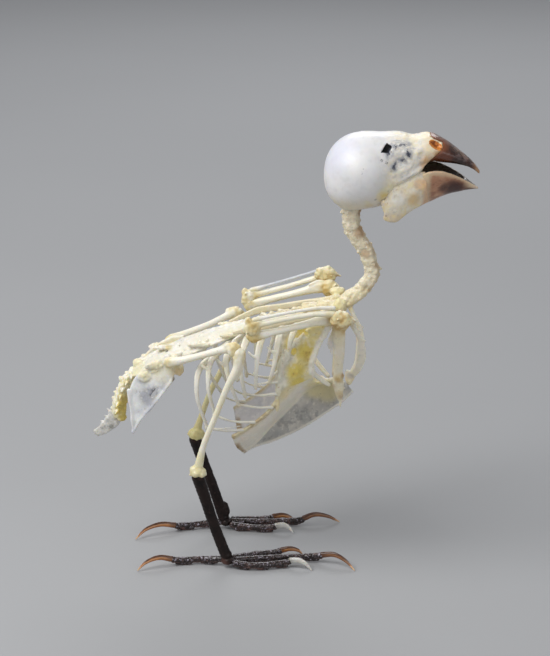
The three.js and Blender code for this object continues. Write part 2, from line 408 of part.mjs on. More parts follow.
// ---- legs --------------------------------------------------------------
const LEG = {
  right: {
    femur: [[-17.7, -5.8, 34.3], [-15.4, -6.4, 34.9], [-12.4, -7.6, 36.1], [-9.3, -8.9, 37.4], [-7.5, -9.5, 37.9]],
    tibia: [[-6.7, -9.8, 37.1], [-7.0, -10.0, 34.9], [-8.5, -9.9, 31.8], [-10.4, -9.4, 26.8], [-12.4, -8.8, 21.5], [-13.35, -8.35, 17.2]],
    tarsus: [[-13.35, -8.3, 16.1], [-12.3, -7.9, 12.4], [-10.8, -7.4, 7.2], [-9.05, -6.8, 1.95]],
    ball: [-8.7, -6.7, 1.0],
    toes: {
      hallux: { p: [[-9.6, -6.4, 1.0], [-13.2, -5.7, 0.62], [-16.0, -6.0, 0.6], [-17.5, -6.35, 0.95]], c: [[-17.8, -6.45, 1.2], [-19.7, -7.0, 1.7], [-21.8, -7.8, 1.1], [-23.15, -8.6, 0.12]] },
      toe_2: { p: [[-7.7, -5.5, 0.95], [-4.4, -3.7, 0.6], [-1.7, -3.0, 0.6], [-0.4, -2.85, 0.9]], c: [[-0.1, -2.85, 1.15], [1.25, -2.8, 1.35], [2.4, -2.5, 0.9], [3.25, -2.15, 0.12]] },
      toe_3: { p: [[-7.3, -6.6, 0.95], [-3.6, -5.5, 0.62], [0.8, -5.0, 0.62], [4.6, -5.0, 0.9], [6.1, -5.2, 1.2]], c: [[6.4, -5.3, 1.4], [8.3, -6.1, 1.8], [10.1, -7.1, 1.15], [11.5, -8.6, 0.12]] },
      toe_4: { p: [[-7.6, -7.7, 0.9], [-4.2, -8.1, 0.6], [-1.2, -7.5, 0.62], [1.0, -7.0, 0.92]], c: [[1.3, -7.0, 1.2], [2.8, -7.5, 1.35], [3.8, -7.95, 0.9], [4.65, -8.6, 0.12]] },
    },
  },
  left: {
    femur: [[-17.9, 5.8, 34.2], [-15.6, 6.4, 35.0], [-11.9, 7.8, 36.1], [-9.2, 8.9, 37.1], [-7.7, 9.5, 37.6]],
    tibia: [[-6.7, 9.8, 36.8], [-6.9, 10.0, 34.6], [-9.3, 9.9, 28.9], [-11.8, 9.4, 24.0], [-13.3, 8.9, 19.9], [-14.2, 8.45, 17.2]],
    tarsus: [[-14.35, 8.4, 16.1], [-13.1, 8.3, 12.2], [-11.5, 8.4, 7.65], [-9.8, 8.9, 1.9]],
    ball: [-9.4, 9.1, 1.05],
    toes: {
      hallux: { p: [[-10.4, 8.8, 1.05], [-13.2, 8.8, 0.65], [-16.0, 8.2, 0.62], [-17.6, 7.5, 0.95]], c: [[-17.9, 7.35, 1.2], [-20.2, 6.5, 1.7], [-22.6, 5.4, 1.15], [-24.2, 3.9, 0.12]] },
      toe_2: { p: [[-8.3, 8.0, 0.95], [-5.2, 7.45, 0.6], [-2.6, 7.2, 0.62], [-1.3, 7.1, 0.92]], c: [[-1.0, 7.05, 1.2], [0.2, 6.85, 1.35], [1.1, 6.7, 0.9], [1.85, 6.45, 0.12]] },
      toe_3: { p: [[-8.2, 9.2, 1.0], [-3.7, 9.6, 0.62], [0.0, 9.8, 0.62], [3.3, 10.0, 0.95]], c: [[3.6, 10.0, 1.3], [5.4, 10.35, 1.85], [7.7, 10.8, 1.3], [9.6, 11.2, 0.12]] },
      toe_4: { p: [[-8.2, 10.3, 0.95], [-5.2, 10.85, 0.62], [-3.2, 11.0, 0.62], [-1.7, 11.05, 0.92]], c: [[-1.4, 11.05, 1.2], [0.2, 11.1, 1.35], [1.3, 11.1, 0.9], [2.4, 11.05, 0.12]] },
    },
  },
};
for (const side of ['right', 'left']) {
  const leg = LEG[side];
  def(`femur_${side}`, YELLOW_BONE, (g) => rod(g, leg.femur, [[0.95, 0.7], 0.6, 0.54, [0.62, 0.6], [1.05, 0.85]], { steps: 6 }), ['pelvis']);
  def(`tibiotarsus_${side}`, YELLOW_BONE, (g) => rod(g, leg.tibia, [[1.0, 0.8], 0.74, 0.52, 0.46, 0.5, [1.05, 0.8]], { steps: 7 }), [`femur_${side}`]);
  def(`tarsus_${side}`, SKIN_DARK, (g) => join(
    rod(g, leg.tarsus, [[1.1, 0.85], TARSUS_R, TARSUS_R * 0.92, TARSUS_R], { steps: 5 }),
    lump(g, leg.ball, [1.2, 1.4, 1.1], { detail: 0 })).intersect(aboveFloor), [`tibiotarsus_${side}`]);
  const done = [`tarsus_${side}`];
  for (const [toe, { p, c }] of Object.entries(leg.toes)) {
    const silver = (toe === 'toe_4' && side === 'right') || (toe === 'toe_2' && side === 'left');
    def(`${toe}_${side}`, SKIN_DARK, (g) => rod(g, p, [TOE_R * 0.95, TOE_R, TOE_R * 1.02, TOE_R * 0.85], { steps: 5, sides: 5 }).intersect(aboveFloor), [...done]);
    def(`${toe}_claw_${side}`, silver ? CLAW_SILVER : CLAW_TAN, (g) => rod(g, c, [[CLAW_R, 0.5], [CLAW_R * 0.85, 0.42], [0.36, 0.28], [0.16, 0.16]],
      { steps: 4, sides: 5 }).intersect(aboveFloor), [`${toe}_${side}`]);
    done.push(`${toe}_${side}`);
  }
}

// ---- assembly ----------------------------------------------------------
const group = new THREE.Group();
for (const [name, { look, make, cutters }] of defs) {
  let body = make(0);
  for (const other of cutters) body = body.subtract(defs.get(other).make(GAP));
  const m = body.getMesh();
  const geo = new THREE.BufferGeometry();
  const pos = new Float32Array((m.vertProperties.length / m.numProp) * 3);
  for (let i = 0; i < pos.length / 3; i++) for (let k = 0; k < 3; k++) pos[i * 3 + k] = m.vertProperties[i * m.numProp + k] + SHIFT.getComponent(k);
  geo.setAttribute('position', new THREE.BufferAttribute(pos, 3));
  geo.setIndex(new THREE.BufferAttribute(Uint32Array.from(m.triVerts), 1));
  geo.computeVertexNormals();
  const mesh = new THREE.Mesh(geo, new THREE.MeshStandardMaterial({ color: look.color, roughness: look.roughness, metalness: 0 }));
  mesh.name = name;
  group.add(mesh);
}

export default group;
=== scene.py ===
import math

import bpy
import numpy as np
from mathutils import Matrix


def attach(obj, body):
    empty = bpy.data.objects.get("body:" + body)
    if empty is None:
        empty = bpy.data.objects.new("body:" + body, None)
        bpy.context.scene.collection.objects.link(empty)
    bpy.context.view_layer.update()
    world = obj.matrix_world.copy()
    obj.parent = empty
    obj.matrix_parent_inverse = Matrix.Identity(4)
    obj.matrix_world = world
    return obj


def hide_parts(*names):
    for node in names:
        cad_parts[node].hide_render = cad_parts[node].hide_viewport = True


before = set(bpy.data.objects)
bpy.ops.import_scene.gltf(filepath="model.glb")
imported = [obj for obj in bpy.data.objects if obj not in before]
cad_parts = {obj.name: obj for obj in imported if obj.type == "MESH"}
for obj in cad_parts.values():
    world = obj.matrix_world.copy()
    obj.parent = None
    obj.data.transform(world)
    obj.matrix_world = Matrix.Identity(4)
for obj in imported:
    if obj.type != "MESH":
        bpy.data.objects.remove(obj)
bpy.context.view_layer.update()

# Lengths below are millimetres in the bird's own frame: it faces +X, its left
# side is +Y, the floor is z = 0. They are turned into metres when a mesh is made.
MM = 0.001
SHIFT = np.array((-0.11, -0.49, 0.0))
FAR = 1.0


# ---------------------------------------------------------------- numbers
def catmull(pts, step=0.1):
    """Smooth curve through pts. Returns points, index parameter, unit tangents."""
    p = np.asarray(pts, float)
    ext = np.vstack([2 * p[0] - p[1], p, 2 * p[-1] - p[-2]])
    out, par = [], []
    for i in range(len(p) - 1):
        p0, p1, p2, p3 = ext[i:i + 4]
        t0 = 0.0
        t1 = t0 + max(np.linalg.norm(p1 - p0), 1e-6) ** 0.5
        t2 = t1 + max(np.linalg.norm(p2 - p1), 1e-6) ** 0.5
        t3 = t2 + max(np.linalg.norm(p3 - p2), 1e-6) ** 0.5
        n = max(2, int(np.ceil(np.linalg.norm(p2 - p1) / step)))
        f = np.arange(n + (1 if i == len(p) - 2 else 0)) / n
        t = (t1 + f * (t2 - t1))[:, None]
        a1 = (t1 - t) / (t1 - t0) * p0 + (t - t0) / (t1 - t0) * p1
        a2 = (t2 - t) / (t2 - t1) * p1 + (t - t1) / (t2 - t1) * p2
        a3 = (t3 - t) / (t3 - t2) * p2 + (t - t2) / (t3 - t2) * p3
        b1 = (t2 - t) / (t2 - t0) * a1 + (t - t0) / (t2 - t0) * a2
        b2 = (t3 - t) / (t3 - t1) * a2 + (t - t1) / (t3 - t1) * a3
        out.append((t2 - t) / (t2 - t1) * b1 + (t - t1) / (t2 - t1) * b2)
        par.append(i + f)
    P, U = np.vstack(out), np.concatenate(par)
    T = np.gradient(P, axis=0)
    T /= np.maximum(np.linalg.norm(T, axis=1, keepdims=True), 1e-9)
    return P, U, T


def mix_table(values, u):
    """Linear reading of a short table at index parameter u."""
    v = np.asarray([(x, x) if np.isscalar(x) else x for x in values], float)
    k = np.arange(len(v))
    return np.stack([np.interp(u, k, v[:, c]) for c in range(v.shape[1])], 1)


def mirror(pts, s):
    q = np.asarray(pts, float).copy()
    q[..., 1] *= s
    return q


def _hash(i, j, k, seed):
    h = (i * 374761393 + j * 668265263 + k * 2147483647 + seed * 974634777) & 0xFFFFFFFF
    h = ((h ^ (h >> 13)) * 1274126177) & 0xFFFFFFFF
    return ((h ^ (h >> 16)) & 0xFFFF) / 32767.5 - 1.0


def noise(P, size, seed=1):
    """Value noise in -1..1 with features about size across."""
    q = np.asarray(P, float) / size + 1000.0
    i = np.floor(q).astype(np.int64)
    f = q - i
    f = f * f * (3 - 2 * f)
    r = 0.0
    for dx in (0, 1):
        for dy in (0, 1):
            for dz in (0, 1):
                w = (f[:, 0] if dx else 1 - f[:, 0]) * (f[:, 1] if dy else 1 - f[:, 1]) * (f[:, 2] if dz else 1 - f[:, 2])
                r = r + w * _hash(i[:, 0] + dx, i[:, 1] + dy, i[:, 2] + dz, seed)
    return r


def fbm(P, size, octaves=3, seed=1):
    r, a, tot = 0.0, 1.0, 0.0
    for o in range(octaves):
        r = r + a * noise(P, size / 2 ** o, seed + 17 * o)
        tot += a
        a *= 0.55
    return r / tot


def smoothstep(x, a, b):
    t = np.clip((x - a) / (b - a), 0, 1)
    return t * t * (3 - 2 * t)


def smin(a, b, k):
    h = np.clip(0.5 + 0.5 * (b - a) / k, 0, 1)
    return b + (a - b) * h - k * h * (1 - h)


def smax(a, b, k):
    return -smin(-a, -b, k)


# ---------------------------------------------------------------- volumes
class Vol:
    """A block of signed distances (negative inside) that solids are built in."""

    def __init__(self, lo, hi, h=0.1, pad=0.6):
        self.h = h
        self.lo = np.asarray(lo, float) - pad
        self.n = np.ceil((np.asarray(hi, float) + pad - self.lo) / h).astype(int) + 1
        self.F = np.full(tuple(self.n), FAR, np.float32)

    def axes(self, sl=None):
        a = [self.lo[k] + self.h * np.arange(self.n[k]) for k in range(3)]
        if sl:
            a = [a[k][sl[k]] for k in range(3)]
        return a[0][:, None, None], a[1][None, :, None], a[2][None, None, :]

    def window(self, lo, hi):
        a = np.clip(np.floor((np.asarray(lo, float) - self.lo) / self.h).astype(int), 0, self.n)
        b = np.clip(np.ceil((np.asarray(hi, float) - self.lo) / self.h).astype(int) + 1, 0, self.n)
        return tuple(slice(int(p), int(q)) for p, q in zip(a, b))

    def add(self, fn, lo=None, hi=None, k=0.0):
        sl = self.window(lo, hi) if lo is not None else tuple(slice(0, int(m)) for m in self.n)
        d = fn(*self.axes(sl))
        cur = self.F[sl]
        self.F[sl] = smin(cur, d, k) if k > 0 else np.minimum(cur, d)

    def cut(self, fn, lo=None, hi=None, k=0.0):
        sl = self.window(lo, hi) if lo is not None else tuple(slice(0, int(m)) for m in self.n)
        d = -fn(*self.axes(sl))
        cur = self.F[sl]
        self.F[sl] = smax(cur, d, k) if k > 0 else np.maximum(cur, d)

    def stamp(self, P, R):
        P = np.atleast_2d(np.asarray(P, float))
        R = np.broadcast_to(np.asarray(R, float), (len(P),))
        h, n = self.h, self.n
        W = np.ceil((R + 2.6 * h) / h).astype(int)
        flatF = self.F.reshape(-1)
        for w in np.unique(W):
            who = np.nonzero(W == w)[0]
            g = np.arange(-w, w + 1)
            O = np.stack(np.meshgrid(g, g, g, indexing="ij"), -1).reshape(-1, 3)
            O = O[(O ** 2).sum(1) <= (w + 0.8) ** 2]
            per = max(1, int(2.5e6 // len(O)))
            for a in range(0, len(who), per):
                c = who[a:a + per]
                base = np.rint((P[c] - self.lo) / h).astype(int)
                I = base[:, None, :] + O[None]
                ok = ((I >= 0) & (I < n)).all(-1)
                D = I * h + (self.lo - P[c][:, None, :])
                d = np.sqrt((D ** 2).sum(-1)) - R[c][:, None]
                flat = (I[..., 0] * n[1] + I[..., 1]) * n[2] + I[..., 2]
                np.minimum.at(flatF, flat[ok], d[ok].astype(np.float32))

    def soften(self, times=1):
        F = np.minimum(self.F, 4 * self.h)
        for _ in range(times):
            for ax in range(3):
                G = F.copy()
                s0 = [slice(None)] * 3
                s1 = [slice(None)] * 3
                s2 = [slice(None)] * 3
                s0[ax], s1[ax], s2[ax] = slice(0, -2), slice(1, -1), slice(2, None)
                G[tuple(s1)] = 0.25 * F[tuple(s0)] + 0.5 * F[tuple(s1)] + 0.25 * F[tuple(s2)]
                F = G
        self.F = F

    def surface(self, level=0.0):
        F = self.F - np.float32(level)
        F[0], F[-1], F[:, 0], F[:, -1], F[:, :, 0], F[:, :, -1] = (FAR,) * 6
        S = F < 0
        corner = [(a, b, c) for a in (0, 1) for b in (0, 1) for c in (0, 1)]
        n = self.n
        cnt = np.zeros(tuple(n - 1), np.uint8)
        for a, b, c in corner:
            cnt += S[a:n[0] - 1 + a, b:n[1] - 1 + b, c:n[2] - 1 + c]
        act = (cnt > 0) & (cnt < 8)
        idx = np.argwhere(act)
        ids = np.full(act.shape, -1, np.int64)
        ids[act] = np.arange(len(idx))
        val = {q: F[idx[:, 0] + q[0], idx[:, 1] + q[1], idx[:, 2] + q[2]].astype(float) for q in corner}
        pos = np.zeros((len(idx), 3))
        num = np.zeros(len(idx))
        for p in corner:
            for ax in range(3):
                if p[ax]:
                    continue
                q = tuple(p[k] + (1 if k == ax else 0) for k in range(3))
                va, vb = val[p], val[q]
                x = (va < 0) != (vb < 0)
                t = np.where(x, va / np.where(va == vb, 1, va - vb), 0)
                pt = np.array(p, float)[None] + t[:, None] * (np.array(q) - np.array(p))[None]
                pos += x[:, None] * pt
                num += x
        V = self.lo + self.h * (idx + pos / num[:, None])
        quads = []
        for ax in range(3):
            o1, o2 = [k for k in range(3) if k != ax]
            sa, sb = [slice(1, -1)] * 3, [slice(1, -1)] * 3
            sa[ax], sb[ax] = slice(0, -1), slice(1, None)
            A, B = S[tuple(sa)], S[tuple(sb)]
            e = np.argwhere(A != B)
            up = A[e[:, 0], e[:, 1], e[:, 2]]
            e = e + np.array([0 if k == ax else 1 for k in range(3)])
            d1, d2 = np.zeros(3, int), np.zeros(3, int)
            d1[o1], d2[o2] = 1, 1
            c = [e - d1 - d2, e - d2, e, e - d1]
            q = np.stack([ids[k[:, 0], k[:, 1], k[:, 2]] for k in c], 1)
            rev = up if ax != 1 else ~up
            q = np.where(rev[:, None], q, q[:, ::-1])
            quads.append(q)
        return V, np.vstack(quads)


def normals(V, Q):
    a, b, c, d = (V[Q[:, k]] for k in range(4))
    fn = np.cross(c - a, d - b)
    N = np.zeros_like(V)
    for k in range(4):
        for ax in range(3):
            N[:, ax] += np.bincount(Q[:, k], fn[:, ax], len(V))
    return N / np.maximum(np.linalg.norm(N, axis=1, keepdims=True), 1e-12)


def relax(V, Q, times=1, lam=0.5):
    for _ in range(times):
        S = np.zeros_like(V)
        w = np.zeros(len(V))
        for k in range(4):
            i, j = Q[:, k], Q[:, (k + 1) % 4]
            for ax in range(3):
                S[:, ax] += np.bincount(i, V[j, ax], len(V)) + np.bincount(j, V[i, ax], len(V))
            w += np.bincount(i, minlength=len(V)) + np.bincount(j, minlength=len(V))
        V = V + lam * (S / np.maximum(w, 1)[:, None] - V)
    return V


# ---------------------------------------------------------------- shapes
def ellipsoid(c, r, turn=0.0):
    """Egg distance; turn is a pitch about Y in degrees."""
    ca, sa = math.cos(math.radians(turn)), math.sin(math.radians(turn))

    def f(X, Y, Z):
        x, y, z = X - c[0], Y - c[1], Z - c[2]
        u, w = x * ca + z * sa, -x * sa + z * ca
        k0 = np.sqrt((u / r[0]) ** 2 + (y / r[1]) ** 2 + (w / r[2]) ** 2)
        k1 = np.sqrt((u / r[0] ** 2) ** 2 + (y / r[1] ** 2) ** 2 + (w / r[2] ** 2) ** 2)
        return k0 * (k0 - 1.0) / np.maximum(k1, 1e-6)
    return f


def loft_x(st, p=2.3, grow=0.0, keel=0.0):
    """A body along X: stations [x, top, bottom, half width]."""
    s = np.asarray(st, float)
    P, U, T = catmull(np.column_stack([s[:, 0], s[:, 1], s[:, 2]]), 0.1)
    hw = np.interp(U, np.arange(len(s)), s[:, 3])

    def f(X, Y, Z):
        x = X.ravel()
        top = np.interp(x, P[:, 0], P[:, 1]).reshape(X.shape) + grow
        bot = np.interp(x, P[:, 0], P[:, 2]).reshape(X.shape) - grow
        w = np.interp(x, P[:, 0], hw).reshape(X.shape) + grow
        zm, hz = (top + bot) / 2, (top - bot) / 2
        u, v = np.abs(Y / w), np.abs((Z - zm) / hz)
        if keel:
            u = u * (1 + keel * np.clip((Z - zm) / hz, 0, 1) ** 2)
        k = (u ** p + v ** p) ** (1 / p)
        d = (k - 1) * np.minimum(w, hz)
        return np.maximum(d, np.maximum(s[0, 0] - grow - X, X - s[-1, 0] - grow))
    return f


def rod(vol, pts, radii, ref=(0, 1, 0), step=None, wobble=0.0, seed=3):
    """A bone shaft. radii: number or (across, along ref)."""
    P, U, T = catmull(pts, step or vol.h * 0.9)
    R = mix_table(radii, U)
    up = np.asarray(ref, float)
    N = up - T * (T @ up)[:, None]
    N /= np.maximum(np.linalg.norm(N, axis=1, keepdims=True), 1e-9)
    B = np.cross(T, N)
    r = R.min(1)
    if wobble:
        r = r * (1 + wobble * noise(P, 0.8, seed))
    extra = np.abs(R[:, 0] - R[:, 1])
    D = np.where((R[:, 0] > R[:, 1])[:, None], B, N)
    if extra.max() < 0.04:
        vol.stamp(P, r)
        return P
    m = max(3, int(np.ceil(2 * extra.max() / (0.55 * max(r.min(), 0.12)))) + 1)
    for f in np.linspace(-1, 1, m):
        vol.stamp(P + D * (f * extra)[:, None], r)
    return P


def sheet(vol, rows, thick, step=None, bend=0.0, keep=None):
    """A bone plate through rows of points. thick: function of (u, v) or number."""
    step = step or vol.h * 0.9
    rows = np.asarray(rows, float)
    m, n = rows.shape[:2]
    cols = []
    for j in range(n):
        P, U, _ = catmull(rows[:, j], 0.05)
        uu = np.linspace(0, m - 1, int(max(np.linalg.norm(np.diff(rows[:, k], axis=0), axis=1).sum() for k in range(n)) / step) + 2)
        cols.append(np.stack([np.interp(uu, U, P[:, c]) for c in range(3)], 1))
    cols = np.stack(cols, 1)
    width = max(np.linalg.norm(np.diff(cols[i], axis=0), axis=1).sum() for i in range(0, len(cols), 7))
    vv = np.linspace(0, n - 1, int(width / step) + 2)
    out = np.empty((len(cols), len(vv), 3))
    for i in range(len(cols)):
        if n > 2:
            P, U, _ = catmull(cols[i], 0.12)
            for c in range(3):
                out[i, :, c] = np.interp(vv, U, P[:, c])
        else:
            f = vv[:, None]
            out[i] = cols[i, 0] * (1 - f) + cols[i, 1] * f
    u = np.broadcast_to((uu / (m - 1))[:, None], out.shape[:2]).ravel()
    v = np.broadcast_to((vv / (n - 1))[None], out.shape[:2]).ravel()
    P = out.reshape(-1, 3)
    r = thick(u, v, P) / 2 if callable(thick) else np.full(len(P), thick / 2)
    ok = r > 0.01
    if keep is not None:
        ok &= keep(u, v, P)
    vol.stamp(P[ok], np.maximum(r[ok], 0.75 * vol.h * 1.15))
    return P[ok]


def blob_mask(P, spots):
    """Soft spots: rows of (x, y, z, radius, weight)."""
    m = np.zeros(len(P))
    for x, y, z, r, w in spots:
        d = np.sqrt(((P - (x, y, z)) ** 2).sum(1)) / r
        m = np.maximum(m, w * (1 - smoothstep(d, 0.35, 1.0)))
    return m


# ---------------------------------------------------------------- pieces
def piece(name, V, Q, mat, nodes, attrs=None, smooth=True):
    me = bpy.data.meshes.new(name)
    W = ((V + SHIFT) * MM).astype(np.float32)
    W[:, 2] = np.maximum(W[:, 2], 0.0)
    me.vertices.add(len(W))
    me.vertices.foreach_set("co", W.ravel())
    me.loops.add(Q.size)
    me.loops.foreach_set("vertex_index", Q.astype(np.int32).ravel())
    me.polygons.add(len(Q))
    me.polygons.foreach_set("loop_start", (np.arange(len(Q)) * 4).astype(np.int32))
    me.polygons.foreach_set("use_smooth", np.ones(len(Q), bool))
    me.update(calc_edges=True)
    me.validate()
    for key, a in (attrs or {}).items():
        at = me.attributes.new(key, "FLOAT", "POINT")
        at.data.foreach_set("value", np.asarray(a, np.float32))
    me.materials.append(mat)
    ob = bpy.data.objects.new(name, me)
    bpy.context.scene.collection.objects.link(ob)
    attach(ob, "root")
    if nodes:
        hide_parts(*nodes)
    COUNT[name] = len(Q) * 2
    return ob


COUNT = {}


def bumps(V, Q, amount, size, seed=5, octaves=3, mask=None):
    N = normals(V, Q)
    d = fbm(V, size, octaves, seed) * amount
    if mask is not None:
        d = d * mask
    return V + N * d[:, None]


class Clay:
    """Collects the balls that a solid is packed from; solid() makes its block."""

    def __init__(self, h=0.1):
        self.h, self.P, self.R = h, [], []

    def stamp(self, P, R):
        P = np.atleast_2d(np.asarray(P, float))
        self.P.append(P)
        self.R.append(np.broadcast_to(np.asarray(R, float), (len(P),)).copy())

    def solid(self, lo=None, hi=None):
        P, R = np.vstack(self.P), np.concatenate(self.R)
        a, b = (P - R[:, None]).min(0), (P + R[:, None]).max(0)
        if lo is not None:
            a, b = np.minimum(a, lo), np.maximum(b, hi)
        v = Vol(a, b, self.h, pad=4 * self.h)
        v.stamp(P, R)
        return v


def gristle(clay, c, size, n, seed, r=(0.18, 0.42), core=0.8, wisps=0):
    """A knobbly lump of dried gristle: a filled, lobed egg with low swellings and a few short wisps."""
    rng = np.random.default_rng(seed)
    size = np.asarray(size, float)
    d = rng.normal(size=(n, 3))
    d /= np.linalg.norm(d, axis=1, keepdims=True)
    rad = rng.uniform(r[0], r[1], n) * 0.9
    lobe = 1.05 + 0.38 * noise(d, 0.9, seed)[:, None]
    clay.stamp(np.asarray(c) + d * lobe * rng.uniform(0.35, 0.82, (n, 1)) * (size - 0.55 * rad[:, None]).clip(0.05), rad)
    # a few short wisps that stand out of the lump
    for k in range(wisps):
        a = np.asarray(c) + d[k] * lobe[k] * size * 0.75
        clay.stamp(a + d[k] * np.linspace(0, 0.55, 6)[:, None] + rng.normal(0, 0.02, (6, 3)), np.linspace(0.24, 0.11, 6))
    if core:
        m = 110
        q = rng.normal(size=(m, 3))
        q /= np.linalg.norm(q, axis=1, keepdims=True)
        rc = min(0.95, core + 0.1) * size.min() * 0.78
        lobe = 1.06 + 0.42 * noise(q, 0.9, seed)[:, None]
        clay.stamp(np.asarray(c) + q * lobe * rng.uniform(0.2, 1, (m, 1)) ** 0.5 * (size * 0.95 - rc).clip(0), rc)


def strand(clay, a, b, r=0.12, sag=0.0, thick=None):
    a, b = np.asarray(a, float), np.asarray(b, float)
    m = (a + b) / 2 + np.array((0, 0, -sag))
    rod(clay, [a, m, b], [thick or r, r, r], step=0.06)


# ---------------------------------------------------------------- colour
def col(h):
    v = np.array([int(h[i:i + 2], 16) / 255 for i in (0, 2, 4)])
    return np.where(v <= 0.04045, v / 12.92, ((v + 0.055) / 1.055) ** 2.4)


def mixc(A, B, m):
    m = np.clip(np.asarray(m, float), 0, 1)
    if m.ndim == 1:
        m = m[:, None]
    return A * (1 - m) + B * m


WHITE = col("f3f1ee")
PEARL = col("e0dfe0")
IVORY = col("f6f3ea")
CREAM = col("eadfc6")
YELLOW = col("e8dfae")
DEEP_YELLOW = col("d9c97e")
OCHRE = col("cfb97c")
ORANGE = col("bb6f2a")
TAN = col("c2a67c")
BROWN = col("7f6243")
DARK = col("35302c")
INK = col("181a22")
GREY = col("a3a3a2")
DARK_GREY = col("5c5d5f")
LILAC = col("b4b8ca")
HORN = col("331b14")
HORN_RED = col("6d3a26")
HORN_TAN = col("c39d78")
PINK = col("b98d74")
SKIN = col("1f1512")
PAD = col("7d5a52")
SCALE = col("4a4245")
CLAW = col("a66a3a")
CLAW_TIP = col("d8b78e")
SILVER = col("c9c8c2")


def bone_paint(V, N, base=IVORY, yellow=0.25, underside_shade=0.35, ends=(), end_colour=OCHRE, dirt=0.25, seed=1, greys=0.0):
    n1, n2, n3 = fbm(V, 1.7, 3, seed), fbm(V, 0.55, 3, seed + 5), fbm(V, 0.25, 2, seed + 9)
    C = np.broadcast_to(base, V.shape).copy()
    C = mixc(C, WHITE, 0.5 * smoothstep(n2, 0.1, 0.7))
    # painted shade: surfaces that face down, away from the lamps, are pushed towards yellow
    C = mixc(C, YELLOW, 0.75 * yellow + 0.35 * n1 + 0.12 * n2 + 0.85 * underside_shade * smoothstep(-N[:, 2], -0.1, 0.9))
    if greys:
        C = mixc(C, GREY, greys * smoothstep(n1 * -1 + 0.3 * n2, -0.2, 0.6))
    e = np.zeros(len(V))
    if len(ends):
        e = blob_mask(V, ends)
        C = mixc(C, YELLOW, 0.65 * e)
        # on the end lumps, ochre and tan lean to downward faces as painted shade and white leans to upward faces as
        # painted highlight, over the mottling
        C = mixc(C, end_colour, e * (0.40 + 0.7 * n1 + 0.25 * n2 - 0.25 * N[:, 2]))
        C = mixc(C, col("c09a5a"), 0.50 * e * smoothstep(n1 + 0.4 * n2 - 0.3 * N[:, 2], 0.15, 0.75))
        C = mixc(C, WHITE, 0.55 * e * smoothstep(-n1 - 0.3 * n2 + 0.35 * N[:, 2], 0.10, 0.7))
    C = mixc(C, BROWN, 0.6 * dirt * smoothstep(n3 + 0.4 * n1, 0.45, 0.95))
    R = 0.36 + 0.10 * n2 + 0.08 * e
    return C, R


# ---------------------------------------------------------------- materials
def node(t, kind, x=0, y=0, **props):
    n = t.nodes.new(kind)
    n.location = (x, y)
    for k, v in props.items():
        setattr(n, k, v)
    return n


